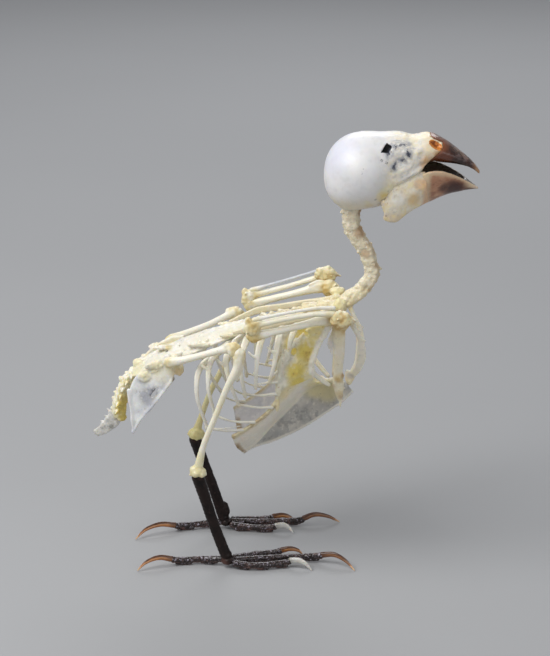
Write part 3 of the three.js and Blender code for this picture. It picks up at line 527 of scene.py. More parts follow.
def material(name, sss=0.3, radius=(0.9, 0.65, 0.4), scale=0.0007, grain=0.10, grain_size=3200.0, bump=0.5, bump_size=2600.0,
             bump_depth=0.00003, coat=0.0, coat_rough=0.2, spec=0.5, speck=0.0, speck_colour=(0.1, 0.07, 0.05), ior=1.5, ink=False):
    m = bpy.data.materials.new(name)
    m.use_nodes = True
    t = m.node_tree
    t.nodes.clear()
    out = node(t, "ShaderNodeOutputMaterial", 900)
    bs = node(t, "ShaderNodeBsdfPrincipled", 600)
    t.links.new(bs.outputs[0], out.inputs[0])
    co = node(t, "ShaderNodeTexCoord", -900)
    paint = node(t, "ShaderNodeAttribute", -300, 200, attribute_name="paint")
    n1 = node(t, "ShaderNodeTexNoise", -600, 0)
    n1.inputs["Scale"].default_value = grain_size
    n1.inputs["Detail"].default_value = 3.0
    t.links.new(co.outputs["Object"], n1.inputs["Vector"])
    rng = node(t, "ShaderNodeMapRange", -400, 0)
    rng.inputs["To Min"].default_value = 1 - grain
    rng.inputs["To Max"].default_value = 1 + grain
    t.links.new(n1.outputs["Fac"], rng.inputs["Value"])
    mul = node(t, "ShaderNodeVectorMath", 0, 200, operation="SCALE")
    t.links.new(paint.outputs["Color"], mul.inputs[0])
    t.links.new(rng.outputs["Result"], mul.inputs["Scale"])
    colour = mul.outputs[0]
    if speck:
        vo = node(t, "ShaderNodeTexNoise", -600, -300)
        vo.inputs["Scale"].default_value = 1900.0
        vo.inputs["Detail"].default_value = 2.0
        t.links.new(co.outputs["Object"], vo.inputs["Vector"])
        mr = node(t, "ShaderNodeMapRange", -400, -300)
        mr.inputs["From Min"].default_value = 0.66
        mr.inputs["From Max"].default_value = 0.76
        mr.inputs["To Max"].default_value = speck
        t.links.new(vo.outputs["Fac"], mr.inputs["Value"])
        mx = node(t, "ShaderNodeMix", 250, 200, data_type="RGBA")
        t.links.new(mr.outputs["Result"], mx.inputs["Factor"])
        t.links.new(colour, mx.inputs["A"])
        mx.inputs["B"].default_value = (*speck_colour, 1)
        colour = mx.outputs["Result"]
    if ink:
        # flecks of dark pigment, packed where the painted amount is high
        at = node(t, "ShaderNodeAttribute", -600, 500, attribute_name="ink")
        fl = node(t, "ShaderNodeTexNoise", -600, 700)
        fl.inputs["Scale"].default_value = 7800.0
        fl.inputs["Detail"].default_value = 3.0
        t.links.new(co.outputs["Object"], fl.inputs["Vector"])
        ad = node(t, "ShaderNodeMath", -400, 600, operation="ADD")
        t.links.new(at.outputs["Fac"], ad.inputs[0])
        t.links.new(fl.outputs["Fac"], ad.inputs[1])
        lim = node(t, "ShaderNodeMapRange", -200, 600)
        lim.inputs["From Min"].default_value = 0.88
        lim.inputs["From Max"].default_value = 1.22
        t.links.new(ad.outputs[0], lim.inputs["Value"])
        mi = node(t, "ShaderNodeMix", 350, 300, data_type="RGBA")
        t.links.new(lim.outputs["Result"], mi.inputs["Factor"])
        t.links.new(colour, mi.inputs["A"])
        mi.inputs["B"].default_value = (0.022, 0.027, 0.052, 1)
        colour = mi.outputs["Result"]
    t.links.new(colour, bs.inputs["Base Color"])
    ro = node(t, "ShaderNodeAttribute", -300, -100, attribute_name="rough")
    t.links.new(ro.outputs["Fac"], bs.inputs["Roughness"])
    n2 = node(t, "ShaderNodeTexNoise", 0, -300)
    n2.inputs["Scale"].default_value = bump_size
    n2.inputs["Detail"].default_value = 4.0
    t.links.new(co.outputs["Object"], n2.inputs["Vector"])
    bp = node(t, "ShaderNodeBump", 300, -300)
    bp.inputs["Strength"].default_value = bump
    bp.inputs["Distance"].default_value = bump_depth
    t.links.new(n2.outputs["Fac"], bp.inputs["Height"])
    t.links.new(bp.outputs["Normal"], bs.inputs["Normal"])
    bs.inputs["IOR"].default_value = ior
    bs.inputs["Specular IOR Level"].default_value = spec
    bs.inputs["Subsurface Weight"].default_value = sss
    bs.inputs["Subsurface Radius"].default_value = radius
    bs.inputs["Subsurface Scale"].default_value = scale
    bs.inputs["Coat Weight"].default_value = coat
    bs.inputs["Coat Roughness"].default_value = coat_rough
    return m


MAT = {
    "skull": material("mat_skull", sss=0.30, scale=0.0007, grain=0.04, grain_size=1500, bump=0.3, bump_depth=0.00002, coat=0.06, coat_rough=0.3, ink=True),
    "bone": material("mat_bone", sss=0.25, scale=0.0005, grain=0.06, bump=0.35, bump_depth=0.00003, speck=0.25, speck_colour=(0.30, 0.19, 0.09)),
    "gristle": material("mat_gristle", sss=0.35, scale=0.0006, grain=0.10, grain_size=2200, bump=0.6, bump_depth=0.00005, speck=0.3,
                        speck_colour=(0.28, 0.16, 0.06)),
    "thin": material("mat_thin_bone", sss=0.30, scale=0.0005, grain=0.08, grain_size=1800, bump=0.4, bump_depth=0.00003, speck=0.25,
                     speck_colour=(0.10, 0.10, 0.11)),
    "horn": material("mat_horn", sss=0.12, radius=(1.0, 0.35, 0.15), scale=0.0005, grain=0.12, grain_size=1400, bump=0.35, bump_depth=0.00002,
                     coat=0.35, coat_rough=0.18),
    "skin": material("mat_foot_skin", sss=0.0, grain=0.25, grain_size=2400, bump=0.8, bump_depth=0.00005, coat=0.12, coat_rough=0.22, spec=0.5),
    "shank": material("mat_shank", sss=0.0, grain=0.25, grain_size=2400, bump=0.8, bump_depth=0.00005, coat=0.0, spec=0.22),
    "claw": material("mat_claw", sss=0.2, radius=(1.0, 0.5, 0.2), scale=0.0005, grain=0.08, grain_size=1800, bump=0.2, bump_depth=0.00002,
                     coat=0.4, coat_rough=0.15),
}


def finish(name, vol, mat, paint, nodes, soft=1, smooth=1, rough_up=(), level=0.0, shape=None):
    if soft:
        vol.soften(soft)
    V, Q = vol.surface(level)
    if smooth:
        V = relax(V, Q, smooth, 0.5)
    if shape is not None:
        V = shape(V)
    for k, b in enumerate(rough_up):
        amount, size, octaves = b[:3]
        V = bumps(V, Q, amount, size, 31 + 7 * k, octaves, b[3](V) if len(b) > 3 else None)
    N = normals(V, Q)
    C, R, *more = paint(V, N)
    attrs = {"rough": np.clip(R, 0.08, 0.95)}
    if more:
        attrs["ink"] = np.clip(more[0], 0, 1)
    ob = piece(name, V, Q, MAT[mat], nodes, attrs)
    at = ob.data.attributes.new("paint", "FLOAT_COLOR", "POINT")
    at.data.foreach_set("color", np.column_stack([np.clip(C, 0, 1), np.ones(len(C))]).astype(np.float32).ravel())
    return ob


# ---------------------------------------------------------------- the bird
NECK = [[10.6, 0, 58.1], [10.75, 0, 54.75], [11.9, 0, 52.5], [13.0, 0, 50.9], [13.65, 0, 48.9],
        [14.05, 0, 47.2], [13.1, 0, 45.3], [11.7, 0, 43.75], [10.0, 0, 42.6]]
BACK = [[9.3, 0, 41.6], [7.15, 0, 40.9], [4.5, 0, 40.3], [0.7, 0, 39.4], [-5.3, 0, 38.0], [-7.5, 0, 37.3]]
RIBS = {
    -1: [
        ([[2.7, 0.6, 39.7], [2.0, 4.6, 39.7], [1.2, 6.8, 38.2], [0.85, 7.0, 36.4]], None),
        ([[0.6, 0.6, 39.2], [-0.3, 5.0, 39.2], [-0.9, 7.4, 37.2], [-1.3, 7.8, 34.8], [-2.0, 7.4, 31.9]],
         [[-1.9, 7.4, 32.4], [-1.1, 7.0, 33.0], [-0.4, 6.7, 33.4]]),
        ([[-1.9, 0.6, 38.6], [-3.0, 5.0, 38.7], [-3.8, 7.6, 36.6], [-4.1, 8.1, 33.8], [-4.2, 7.9, 30.8]],
         [[-4.2, 7.9, 31.2], [-2.6, 7.5, 31.5], [-0.9, 6.8, 31.4]]),
        ([[-4.0, 0.6, 38.1], [-5.5, 4.8, 37.9], [-6.4, 7.2, 35.9], [-6.5, 7.8, 33.4], [-5.8, 7.7, 29.3]],
         [[-6.0, 7.7, 29.7], [-3.7, 7.2, 29.3], [-1.0, 6.5, 29.3]]),
        ([[-5.6, 0.6, 37.7], [-7.5, 4.6, 37.1], [-8.8, 7.0, 35.2], [-8.4, 8.0, 32.4], [-6.9, 7.6, 27.9]],
         [[-7.0, 7.6, 28.0], [-4.2, 7.1, 27.3], [-1.6, 6.4, 27.0]]),
        ([[-6.7, 0.6, 37.3], [-9.4, 4.4, 36.0], [-11.2, 6.4, 34.6], [-11.6, 7.8, 31.0], [-10.6, 7.5, 26.2]],
         [[-10.8, 7.5, 26.2], [-8.0, 7.1, 25.0], [-4.4, 6.6, 24.6]]),
        ([[-7.3, 0.6, 37.1], [-10.6, 3.9, 35.0], [-13.0, 6.2, 33.2], [-13.4, 7.6, 29.6], [-11.8, 7.1, 23.8]],
         [[-12.0, 7.2, 24.0], [-9.4, 6.8, 23.3], [-6.2, 6.5, 23.3]]),
    ],
    1: [
        ([[2.7, 0.6, 39.7], [2.0, 4.6, 39.7], [1.3, 6.8, 38.2], [0.9, 7.0, 36.2]], None),
        ([[0.6, 0.6, 39.2], [-0.3, 5.0, 39.2], [-1.0, 7.4, 37.0], [-1.6, 7.8, 33.4], [-2.6, 7.4, 29.4]],
         [[-2.4, 7.4, 30.0], [-1.6, 7.05, 30.3], [-0.95, 6.75, 30.4]]),
        ([[-1.9, 0.6, 38.6], [-3.0, 5.0, 38.6], [-3.8, 7.6, 36.4], [-4.3, 8.0, 33.0], [-4.2, 7.7, 29.0]],
         [[-4.2, 7.8, 29.4], [-2.8, 7.3, 29.4], [-1.0, 6.5, 29.3]]),
        ([[-4.0, 0.6, 38.1], [-5.5, 4.6, 37.6], [-6.5, 7.2, 35.3], [-6.4, 7.8, 31.6], [-5.8, 7.6, 27.4]],
         [[-6.0, 7.6, 27.8], [-4.0, 7.1, 27.5], [-1.4, 6.4, 27.4]]),
        ([[-5.6, 0.6, 37.7], [-7.4, 4.4, 36.7], [-8.5, 7.0, 34.8], [-8.3, 7.9, 31.2], [-7.3, 7.6, 26.6]],
         [[-7.5, 7.6, 27.0], [-5.0, 7.1, 26.0], [-2.4, 6.4, 25.8]]),
        ([[-6.7, 0.6, 37.3], [-9.2, 4.2, 35.7], [-10.8, 6.6, 33.8], [-10.6, 7.7, 30.4], [-8.6, 7.3, 25.4]],
         [[-8.8, 7.4, 25.6], [-6.6, 6.9, 24.6], [-4.2, 6.4, 24.4]]),
        ([[-7.3, 0.6, 37.1], [-10.4, 3.9, 34.8], [-12.7, 6.4, 32.6], [-12.4, 7.5, 28.9], [-9.4, 6.9, 24.0]],
         [[-9.9, 7.0, 24.3], [-8.2, 6.7, 23.5], [-5.9, 6.4, 23.3]]),
    ],
}
STERNUM_ROWS = [
    [[-6.2, 0, 17.5], [-6.9, 2.6, 18.7], [-7.4, 4.8, 20.4], [-7.8, 6.5, 22.3]],
    [[-4.2, 0, 19.0], [-4.6, 2.6, 20.2], [-4.9, 4.8, 22.0], [-5.1, 6.5, 24.0]],
    [[-1.5, 0, 22.3], [-1.8, 2.6, 23.2], [-2.1, 4.8, 24.6], [-2.3, 6.3, 26.3]],
    [[1.1, 0, 25.0], [0.4, 2.6, 25.8], [-0.3, 4.8, 27.0], [-0.8, 6.2, 28.6]],
    [[3.2, 0, 27.4], [2.2, 2.8, 28.2], [0.7, 5.2, 29.8], [-0.8, 6.5, 31.6]],
    [[5.4, 0, 28.9], [4.4, 3.0, 29.9], [2.6, 5.6, 32.6], [0.5, 6.8, 35.8]],
    [[7.5, 0, 29.4], [7.0, 2.6, 29.9], [5.2, 5.0, 33.5], [5.6, 6.0, 38.6]],
]
KEEL_ROWS = [
    [[-6.3, 0, 17.5], [-6.2, 0, 17.0]], [[-4.3, 0, 19.0], [-4.3, 0, 18.1]], [[-1.5, 0, 22.3], [-1.6, 0, 19.0]],
    [[1.1, 0, 24.9], [2.1, 0, 20.7]], [[3.4, 0, 27.4], [4.9, 0, 22.4]], [[6.0, 0, 29.0], [7.6, 0, 24.3]],
    [[8.6, 0, 29.4], [9.5, 0, 25.7]], [[10.0, 0, 28.5], [11.0, 0, 27.4]],
]
SCAPULA = {
    -1: [[7.9, -4.6, 41.2], [4.2, -5.2, 41.5], [0.2, -5.5, 40.9], [-4.0, -5.5, 39.9], [-7.6, -5.1, 38.9]],
    1: [[7.9, 4.6, 41.4], [4.0, 5.0, 40.75], [0.4, 5.2, 40.05], [-4.0, 5.3, 39.25], [-8.4, 5.1, 37.4]],
}
WING = {
    -1: dict(
        humerus=[[8.5, -6.7, 41.5], [7.0, -7.0, 41.7], [4.6, -7.6, 41.4], [1.6, -8.2, 40.8], [-1.5, -8.7, 40.2], [-4.6, -9.0, 39.5]],
        ulna=[[-4.7, -9.3, 41.3], [-2.4, -9.2, 41.85], [2.4, -8.8, 42.75], [5.4, -8.6, 43.1], [7.8, -8.3, 43.0]],
        radius=[[-4.4, -9.3, 42.35], [-2.4, -9.2, 42.8], [2.4, -8.8, 43.65], [5.4, -8.6, 44.05], [7.8, -8.3, 43.95]],
        wrist=[8.9, -8.2, 42.35], hook=[[9.6, -8.2, 42.2], [10.6, -8.2, 42.3], [11.4, -8.2, 41.7]]),
    1: dict(
        humerus=[[7.5, 6.7, 42.7], [5.8, 6.9, 42.7], [3.7, 7.2, 42.0], [1.2, 7.7, 41.2], [-2.0, 8.3, 40.2], [-5.2, 8.6, 39.2]],
        ulna=[[-5.5, 8.8, 40.5], [-2.0, 8.8, 41.5], [1.2, 8.7, 42.4], [4.2, 8.5, 43.4], [6.4, 8.3, 44.1]],
        radius=[[-5.0, 8.8, 41.6], [-2.0, 8.8, 42.5], [1.2, 8.7, 43.5], [4.2, 8.5, 44.5], [6.4, 8.3, 45.2]],
        wrist=[7.2, 8.1, 44.3], hook=[[7.9, 8.1, 44.7], [8.9, 8.15, 44.4], [9.5, 8.2, 44.15]]),
}
LEG = {
    -1: dict(
        femur=[[-17.7, -5.8, 34.3], [-15.4, -6.4, 34.9], [-12.4, -7.6, 36.1], [-9.3, -8.9, 37.4], [-7.5, -9.5, 37.9]],
        tibia=[[-6.7, -9.8, 37.1], [-7.0, -10.0, 34.9], [-8.5, -9.9, 31.8], [-10.4, -9.4, 26.8], [-12.4, -8.8, 21.5], [-13.35, -8.35, 17.2]],
        tarsus=[[-13.35, -8.3, 16.1], [-12.3, -7.9, 12.4], [-10.8, -7.4, 7.2], [-9.05, -6.8, 1.95]],
        ball=[-8.7, -6.7, 1.1],
        toes=dict(
            hallux=([[-9.6, -6.4, 1.1], [-13.2, -5.7, 0.75], [-16.0, -6.0, 0.75], [-17.5, -6.35, 1.0]],
                    [[-17.8, -6.45, 1.2], [-19.7, -7.0, 1.7], [-21.8, -7.8, 1.2], [-23.15, -8.6, 0.12]]),
            toe_2=([[-7.7, -5.5, 1.0], [-4.4, -3.7, 0.72], [-1.7, -3.0, 0.72], [-0.4, -2.85, 0.95]],
                   [[-0.1, -2.85, 1.15], [1.25, -2.8, 1.4], [2.5, -2.5, 0.95], [3.25, -2.15, 0.12]]),
            toe_3=([[-7.3, -6.6, 1.0], [-3.6, -5.5, 0.78], [0.8, -5.0, 0.78], [4.6, -5.0, 0.95], [6.1, -5.2, 1.2]],
                   [[6.4, -5.3, 1.4], [8.3, -6.1, 1.8], [10.1, -7.1, 1.15], [11.5, -8.6, 0.12]]),
            toe_4=([[-7.6, -7.7, 0.95], [-4.2, -8.1, 0.7], [-1.2, -7.5, 0.72], [1.0, -7.0, 0.95]],
                   [[1.3, -7.0, 1.2], [2.8, -7.5, 1.35], [3.9, -8.0, 0.85], [4.65, -8.6, 0.12]]))),
    1: dict(
        femur=[[-17.9, 5.8, 34.2], [-15.6, 6.4, 35.0], [-11.9, 7.8, 36.1], [-9.2, 8.9, 37.1], [-7.7, 9.5, 37.6]],
        tibia=[[-6.7, 9.8, 36.8], [-6.9, 10.0, 34.6], [-9.3, 9.9, 28.9], [-11.8, 9.4, 24.0], [-13.3, 8.9, 19.9], [-14.2, 8.45, 17.2]],
        tarsus=[[-14.35, 8.4, 16.1], [-13.1, 8.3, 12.2], [-11.5, 8.4, 7.65], [-9.8, 8.9, 1.9]],
        ball=[-9.4, 9.1, 1.15],
        toes=dict(
            hallux=([[-10.4, 8.8, 1.1], [-13.2, 8.8, 0.78], [-16.0, 8.2, 0.76], [-17.6, 7.5, 0.98]],
                    [[-17.9, 7.35, 1.2], [-20.2, 6.5, 1.7], [-22.6, 5.4, 1.2], [-24.2, 3.9, 0.12]]),
            toe_2=([[-8.3, 8.0, 0.95], [-5.2, 7.45, 0.7], [-2.6, 7.2, 0.72], [-1.3, 7.1, 0.95]],
                   [[-1.0, 7.05, 1.2], [0.3, 6.85, 1.4], [1.15, 6.7, 0.95], [1.85, 6.45, 0.12]]),
            toe_3=([[-8.2, 9.2, 1.05], [-3.7, 9.6, 0.78], [0.0, 9.8, 0.78], [3.3, 10.0, 1.0]],
                   [[3.6, 10.0, 1.3], [5.4, 10.35, 1.85], [7.7, 10.8, 1.3], [9.6, 11.2, 0.12]]),
            toe_4=([[-8.2, 10.3, 0.98], [-5.2, 10.85, 0.75], [-3.2, 11.0, 0.75], [-1.7, 11.05, 0.95]],
                   [[-1.4, 11.05, 1.2], [0.2, 11.1, 1.4], [1.4, 11.1, 0.95], [2.4, 11.05, 0.12]]))),
}
SIDE = {-1: "right", 1: "left"}


# ---- head: braincase and face in one, with the bony base of the bill
BILL = [[19.0, 69.25, 63.4, 4.3], [19.9, 69.1, 63.7, 4.2], [20.9, 69.45, 64.4, 4.05], [22.0, 69.6, 65.2, 3.75], [23.1, 69.4, 65.35, 3.4],
        [24.2, 68.9, 65.2, 3.05], [25.3, 68.25, 65.05, 2.65], [26.4, 67.45, 64.9, 2.25], [27.5, 66.6, 64.65, 1.8],
        [28.7, 65.6, 64.25, 1.2], [29.6, 64.7, 63.75, 0.75], [30.4, 63.6, 63.05, 0.25]]


def sheath_edge(Z, Y):
    """Where the horn of the upper bill starts: it runs behind the nostril's front rim."""
    zs = [64.0, 65.2, 66.0, 66.8, 67.3, 67.8, 68.4, 68.9, 69.3, 69.8]
    xs = [21.2, 21.9, 22.7, 23.5, 24.2, 24.55, 24.35, 23.2, 22.5, 22.1]
    return np.interp(Z, zs, xs) - 0.15 * np.abs(Y) + 0.3


def prism(poly, y0, y1):
    """Straight-sided pit: a convex outline in X, Z between two depths in |Y|."""
    p = np.asarray(poly, float)
    c = p.mean(0)

    def f(X, Y, Z):
        d = -1e9
        for a, b in zip(p, np.roll(p, -1, 0)):
            n = np.array((b[1] - a[1], a[0] - b[0]))
            n /= np.linalg.norm(n)
            if n @ (a - c) < 0:
                n = -n
            d = np.maximum(d, (X - a[0]) * n[0] + (Z - a[1]) * n[1])
        q = np.abs(Y)
        return np.maximum(d, np.maximum(y0 - q, q - y1))
    return f


DIAMOND = [(14.95, 67.5), (15.85, 68.65), (16.6, 68.2), (16.1, 67.35)]


NOSTRIL = ((23.4, 68.45), (1.28, 1.25, 0.56), -33)


def nostril(s, grow=0.0):
    (x, z), r, turn = NOSTRIL
    return ellipsoid((x, s * 3.3, z), (r[0] + grow, r[1] + grow, r[2] + grow), turn=turn)


def build_skull():
    lo, hi = (6.2, -6.9, 56.9), (25.0, 6.9, 70.1)
    v = Vol(lo, hi, 0.11, pad=0.5)
    v.add(ellipsoid((12.3, 0, 63.7), (5.88, 6.5, 5.92)))
    v.add(ellipsoid((10.7, 0, 62.1), (4.2, 5.45, 4.5)), k=0.7)
    # the face runs down over the jaw hinge as one smooth skin
    face = [[12.5, 69.3, 58.9, 4.6], [14.0, 69.55, 58.55, 4.95], [15.2, 69.6, 58.6, 5.0], [16.4, 69.65, 59.1, 4.9], [17.6, 69.66, 60.3, 4.75],
            [18.6, 69.55, 61.5, 4.55], [19.4, 69.3, 62.4, 4.35], [20.4, 69.2, 63.3, 4.15], [22.5, 69.5, 65.1, 3.6], [24.8, 68.55, 65.1, 2.85]]
    v.add(loft_x(face, p=2.9, keel=0.30), k=0.8)
    # shallow dish over the eye on each side
    for s in (-1, 1):
        v.cut(ellipsoid((17.9, s * 8.9, 66.4), (2.9, 4.75, 2.5)), k=0.8)
        v.cut(ellipsoid((21.3, s * 8.3, 67.0), (1.3, 4.6, 1.6)), k=0.6)
    c = Clay(v.h)
    for s in (-1, 1):
        rod(c, mirror([[15.4, 4.55, 63.7], [16.4, 4.55, 63.2], [17.6, 4.45, 63.0], [19.2, 4.15, 63.7], [20.9, 3.75, 64.7], [22.2, 3.5, 65.3]], s),
            [0.20, 0.24, 0.24, 0.26, 0.34, 0.28])
        # roof bones of the mouth
        rod(c, mirror([[14.4, 1.3, 59.7], [17.6, 1.5, 61.8], [20.8, 1.6, 64.6]], s), [0.5, 0.4, 0.5])
        # thin front rim of the nostril
        rod(c, mirror([[23.6, 2.45, 69.05], [24.35, 2.45, 68.5], [24.55, 2.6, 67.75]], s), [0.16, 0.2, 0.16], step=0.06)
    # knob where the neck hangs on
    gristle(c, (10.6, 0, 57.9), (1.5, 1.3, 0.5), 40, 12, r=(0.25, 0.45))
    P, R = np.vstack(c.P), np.concatenate(c.R)
    w = Vol(lo, hi, 0.11, pad=0.5)
    w.stamp(P, R)
    v.F = smin(v.F, w.F, 0.45).astype(np.float32)
    for s in (-1, 1):
        v.cut(nostril(s), k=0.12)
    v.cut(prism(DIAMOND, 3.0, 7.0))
    # the horn starts here
    v.cut(lambda X, Y, Z: sheath_edge(Z, Y) - X)

    def paint(V, N):
        x, y, z = V.T
        n1, n2, n3 = fbm(V, 2.2, 3, 3), fbm(V, 0.7, 3, 8), fbm(V, 0.3, 2, 13)
        C = np.broadcast_to(PEARL, V.shape).copy()
        C = mixc(C, col("eeedec"), 0.4 + 0.5 * n1)
        C = mixc(C, col("d3d1cf"), 0.35 * smoothstep(-n2 - 0.3 * n1, 0.05, 0.6))
        C = mixc(C, col("e4e0d6"), 0.7 * smoothstep(x - 0.5 * (z - 63), 12.0, 16.0))
        # painted reflection: faint blue-violet bloom of sky light on the top and back of the crown
        C = mixc(C, col("dadcee"), 0.55 * blob_mask(V, [(8.2, s * 2.5, 67.2, 5.0, 1) for s in (-1, 1)]))
        front = smoothstep(x - 0.12 * (z - 63) + 0.5 * n2, 14.6, 17.2)
        C = mixc(C, col("e5e0d4"), 0.85 * front)
        C = mixc(C, CREAM, 0.4 * front * smoothstep(n2, -0.2, 0.5))
        # cream, yellow and grey mottling of the face
        C = mixc(C, col("e8dcae"), 0.40 * front * smoothstep(n2 - 0.3 * n1, 0.0, 0.5))
        C = mixc(C, col("b4b3b4"), 0.60 * front * smoothstep(-n2 + 0.5 * n3, 0.05, 0.55))
        C = mixc(C, col("f1efe8"), 0.6 * front * smoothstep(n3 - 0.2 * n2, 0.15, 0.6))
        low = smoothstep(-z + 0.4 * n2, -61.4, -58.6)
        C = mixc(C, col("ddd3bc"), 0.75 * low)
        C = mixc(C, CREAM, 0.8 * blob_mask(V, [(17.0, s * 4.9, 62.2, 2.4, 1) for s in (-1, 1)]))
        spots = []
        for s in (-1, 1):
            spots += [(15.4, s * 5.2, 61.2, 1.5, 1), (16.6, s * 4.9, 62.0, 1.2, 0.7), (12.9, s * 5.2, 59.4, 1.0, 0.9), (17.0, s * 4.5, 64.6, 1.2, 0.35)]
        C = mixc(C, YELLOW, blob_mask(V, spots) * (0.65 + 0.6 * n2))
        C = mixc(C, col("dfc57c"), 0.8 * blob_mask(V, [(15.4, s * 4.9, 60.6, 1.5, 1) for s in (-1, 1)] + [(13.2, s * 4.2, 59.0, 1.0, 0.6) for s in (-1, 1)]) * (0.8 + 0.6 * n2))
        C = mixc(C, col("8f8b84"), 0.6 * blob_mask(V, [(14.2, s * 5, 60.2, 0.35, 1) for s in (-1, 1)] + [(12.4, s * 4.6, 58.9, 0.3, 1) for s in (-1, 1)]))
        # bill base: cream going to amber near the horn and under the nostril
        base = smoothstep(x, 20.6, 22.4)
        C = mixc(C, col("e9d6b0"), 0.7 * base)
        amber = blob_mask(V, [(22.0, s * 3.6, 65.6, 1.7, 0.9) for s in (-1, 1)] + [(23.6, s * 2.9, 66.9, 1.2, 0.9) for s in (-1, 1)]
                          + [(24.3, 0, 69.0, 1.5, 0.5)])
        C = mixc(C, col("c08a45"), amber * (0.75 + 0.5 * n2))
        hole = np.zeros(len(V))
        for s in (-1, 1):
            hole = np.maximum(hole, nostril(s, 0.08)(x, y, z) < 0.04)
        C = mixc(C, col("d98a3c"), hole)
        C = mixc(C, col("96511f"), hole * smoothstep(n3 + 0.5 * n2, -0.05, 0.4))
        # dark pigment left around the eye, drawn like a hook
        P, _, _ = catmull([[16.1, 67.3], [16.9, 68.25], [17.95, 68.6], [19.0, 68.1], [19.05, 67.05], [18.4, 66.2], [17.5, 65.75], [16.95, 65.2]], 0.1)
        d = np.full(len(V), 9.0)
        for a in P:
            d = np.minimum(d, np.hypot(x - a[0], z - a[1]))
        ink = (1 - smoothstep(d, 0.15, 0.62)) * (np.abs(y) > 2.6)
        wash = (1 - smoothstep(d, 0.3, 1.1)) * (np.abs(y) > 2.6)
        C = mixc(C, col("7f8494"), 0.80 * wash * smoothstep(n2 + 0.5 * n3, -0.6, 0.4))
        flecks = np.clip(0.44 * ink * (1 + 0.6 * n2) + 0.24 * wash * smoothstep(n2, -0.3, 0.5), 0, 1) * (1 - 0.8 * (np.hypot(x - 16.75, z - 68.1) < 0.35))
        sp = []
        for s in (-1, 1):
            sp += [(15.0, s * 5, 66.4, .22, 1), (15.7, s * 4.8, 66.0, .25, 1), (16.45, s * 4.7, 64.6, .25, .9), (13.45, s * 5.9, 67.0, .22, .9),
                   (12.0, s * 6.4, 64.8, .2, .8), (12.2, s * 6.3, 65.4, .16, .8), (15.4, s * 4.9, 65.3, .2, .8), (16.0, s * 4.7, 66.6, .3, .8),
                   (14.9, s * 5.0, 59.6, .25, .8), (16.0, s * 4.9, 61.6, .18, .8), (17.3, s * 4.7, 62.6, .18, .7)]
        flecks = np.maximum(flecks, 0.52 * blob_mask(V, [(a, b, c_, r * 2.2, w_) for a, b, c_, r, w_ in sp]))
        C = mixc(C, col("b3b5bd"), 0.35 * blob_mask(V, [(19.1, s * 4.6, 63.8, 0.7, 1) for s in (-1, 1)] + [(18.2, s * 4.7, 63.5, 0.5, 1) for s in (-1, 1)]))
        # painted shade: the shallow diamond pocket is painted near-black as the dark inside a deep hole
        pit_shade = (prism(DIAMOND, 0, 9)(x, y, z) < 0.03) & (np.abs(y) > 2.5) & (np.abs(y) < np.interp(x, [14.9, 16.7], [4.75, 4.25]) - 0.0)
        C = mixc(C, col("0b0b0d"), pit_shade.astype(float))
        R = 0.38 + 0.06 * front + 0.08 * low + 0.05 * n2
        R = R + 0.3 * pit_shade
        return C, R, flecks

    return finish("skull", v, "skull", paint, ["skull"], soft=1, smooth=1,
                  rough_up=[(0.08, 1.0, 2, lambda V: smoothstep(V[:, 0], 14.5, 17.5)), (0.07, 0.42, 3, lambda V: smoothstep(V[:, 0], 13.8, 16.0)),
                            (0.03, 0.30, 2, lambda V: 1 - smoothstep(V[:, 2], 59.5, 62.5))])


def build_upper_bill():
    v = Vol((21.0, -4.2, 62.6), (30.9, 4.2, 70.1), 0.09, pad=0.4)
    horn = [[x, a + 0.07, b - 0.03, w + 0.08] for x, a, b, w in BILL]
    v.add(loft_x(horn, p=2.25, keel=0.36))
    v.cut(ellipsoid((24.4, 0, 64.3), (4.6, 1.9, 1.25), turn=-6), k=0.2)
    v.cut(lambda X, Y, Z: X - sheath_edge(Z, Y) - 0.03)
    for s in (-1, 1):
        v.cut(nostril(s, 0.05))

    def paint(V, N):
        x, y, z = V.T
        n1, n2, n3 = fbm(V * (0.45, 1, 1), 0.9, 3, 4), fbm(V * (0.35, 1, 1), 0.35, 3, 9), fbm(V, 0.25, 2, 13)
        C = np.broadcast_to(HORN, V.shape).copy()
        C = mixc(C, col("5a3326"), smoothstep(n1 + 0.25 * n2, -0.25, 0.55) * 0.85)
        rear = 1 - smoothstep(x - sheath_edge(z, y) + 0.35 * n1, 0.1, 1.5)
        C = mixc(C, col("8f5029"), rear * 0.75)
        C = mixc(C, col("6f3a22"), 0.7 * blob_mask(V, [(24.6, s * 3, 66.2, 2.0, 1) for s in (-1, 1)]))
        # painted sheen: tan and lilac-grey on the upward-facing top of the bill towards the tip
        C = mixc(C, col("b9926c"), 0.6 * smoothstep(N[:, 2] + 0.2 * n2, 0.55, 0.95) * smoothstep(x, 25.5, 27.5))
        C = mixc(C, col("8d7a78"), 0.5 * smoothstep(n2 + 0.5 * N[:, 2], 0.1, 0.7) * smoothstep(x, 25.0, 27.0))
        C = mixc(C, col("18120f"), 0.85 * blob_mask(V, [(28.2, 0, 65.2, 1.3, 0.8), (27.0, -1.8, 65.0, 1.6, 0.6), (27.0, 1.8, 65.0, 1.6, 0.6)]))
        C = mixc(C, col("b48c68"), smoothstep(x + 0.3 * n2, 29.0, 30.1))
        return C, 0.27 + 0.10 * n2 + 0.1 * rear

    return finish("upper_bill", v, "horn", paint, ["upper_bill"], soft=1, smooth=1, rough_up=[(0.03, 0.8, 2), (0.015, 0.3, 2)])


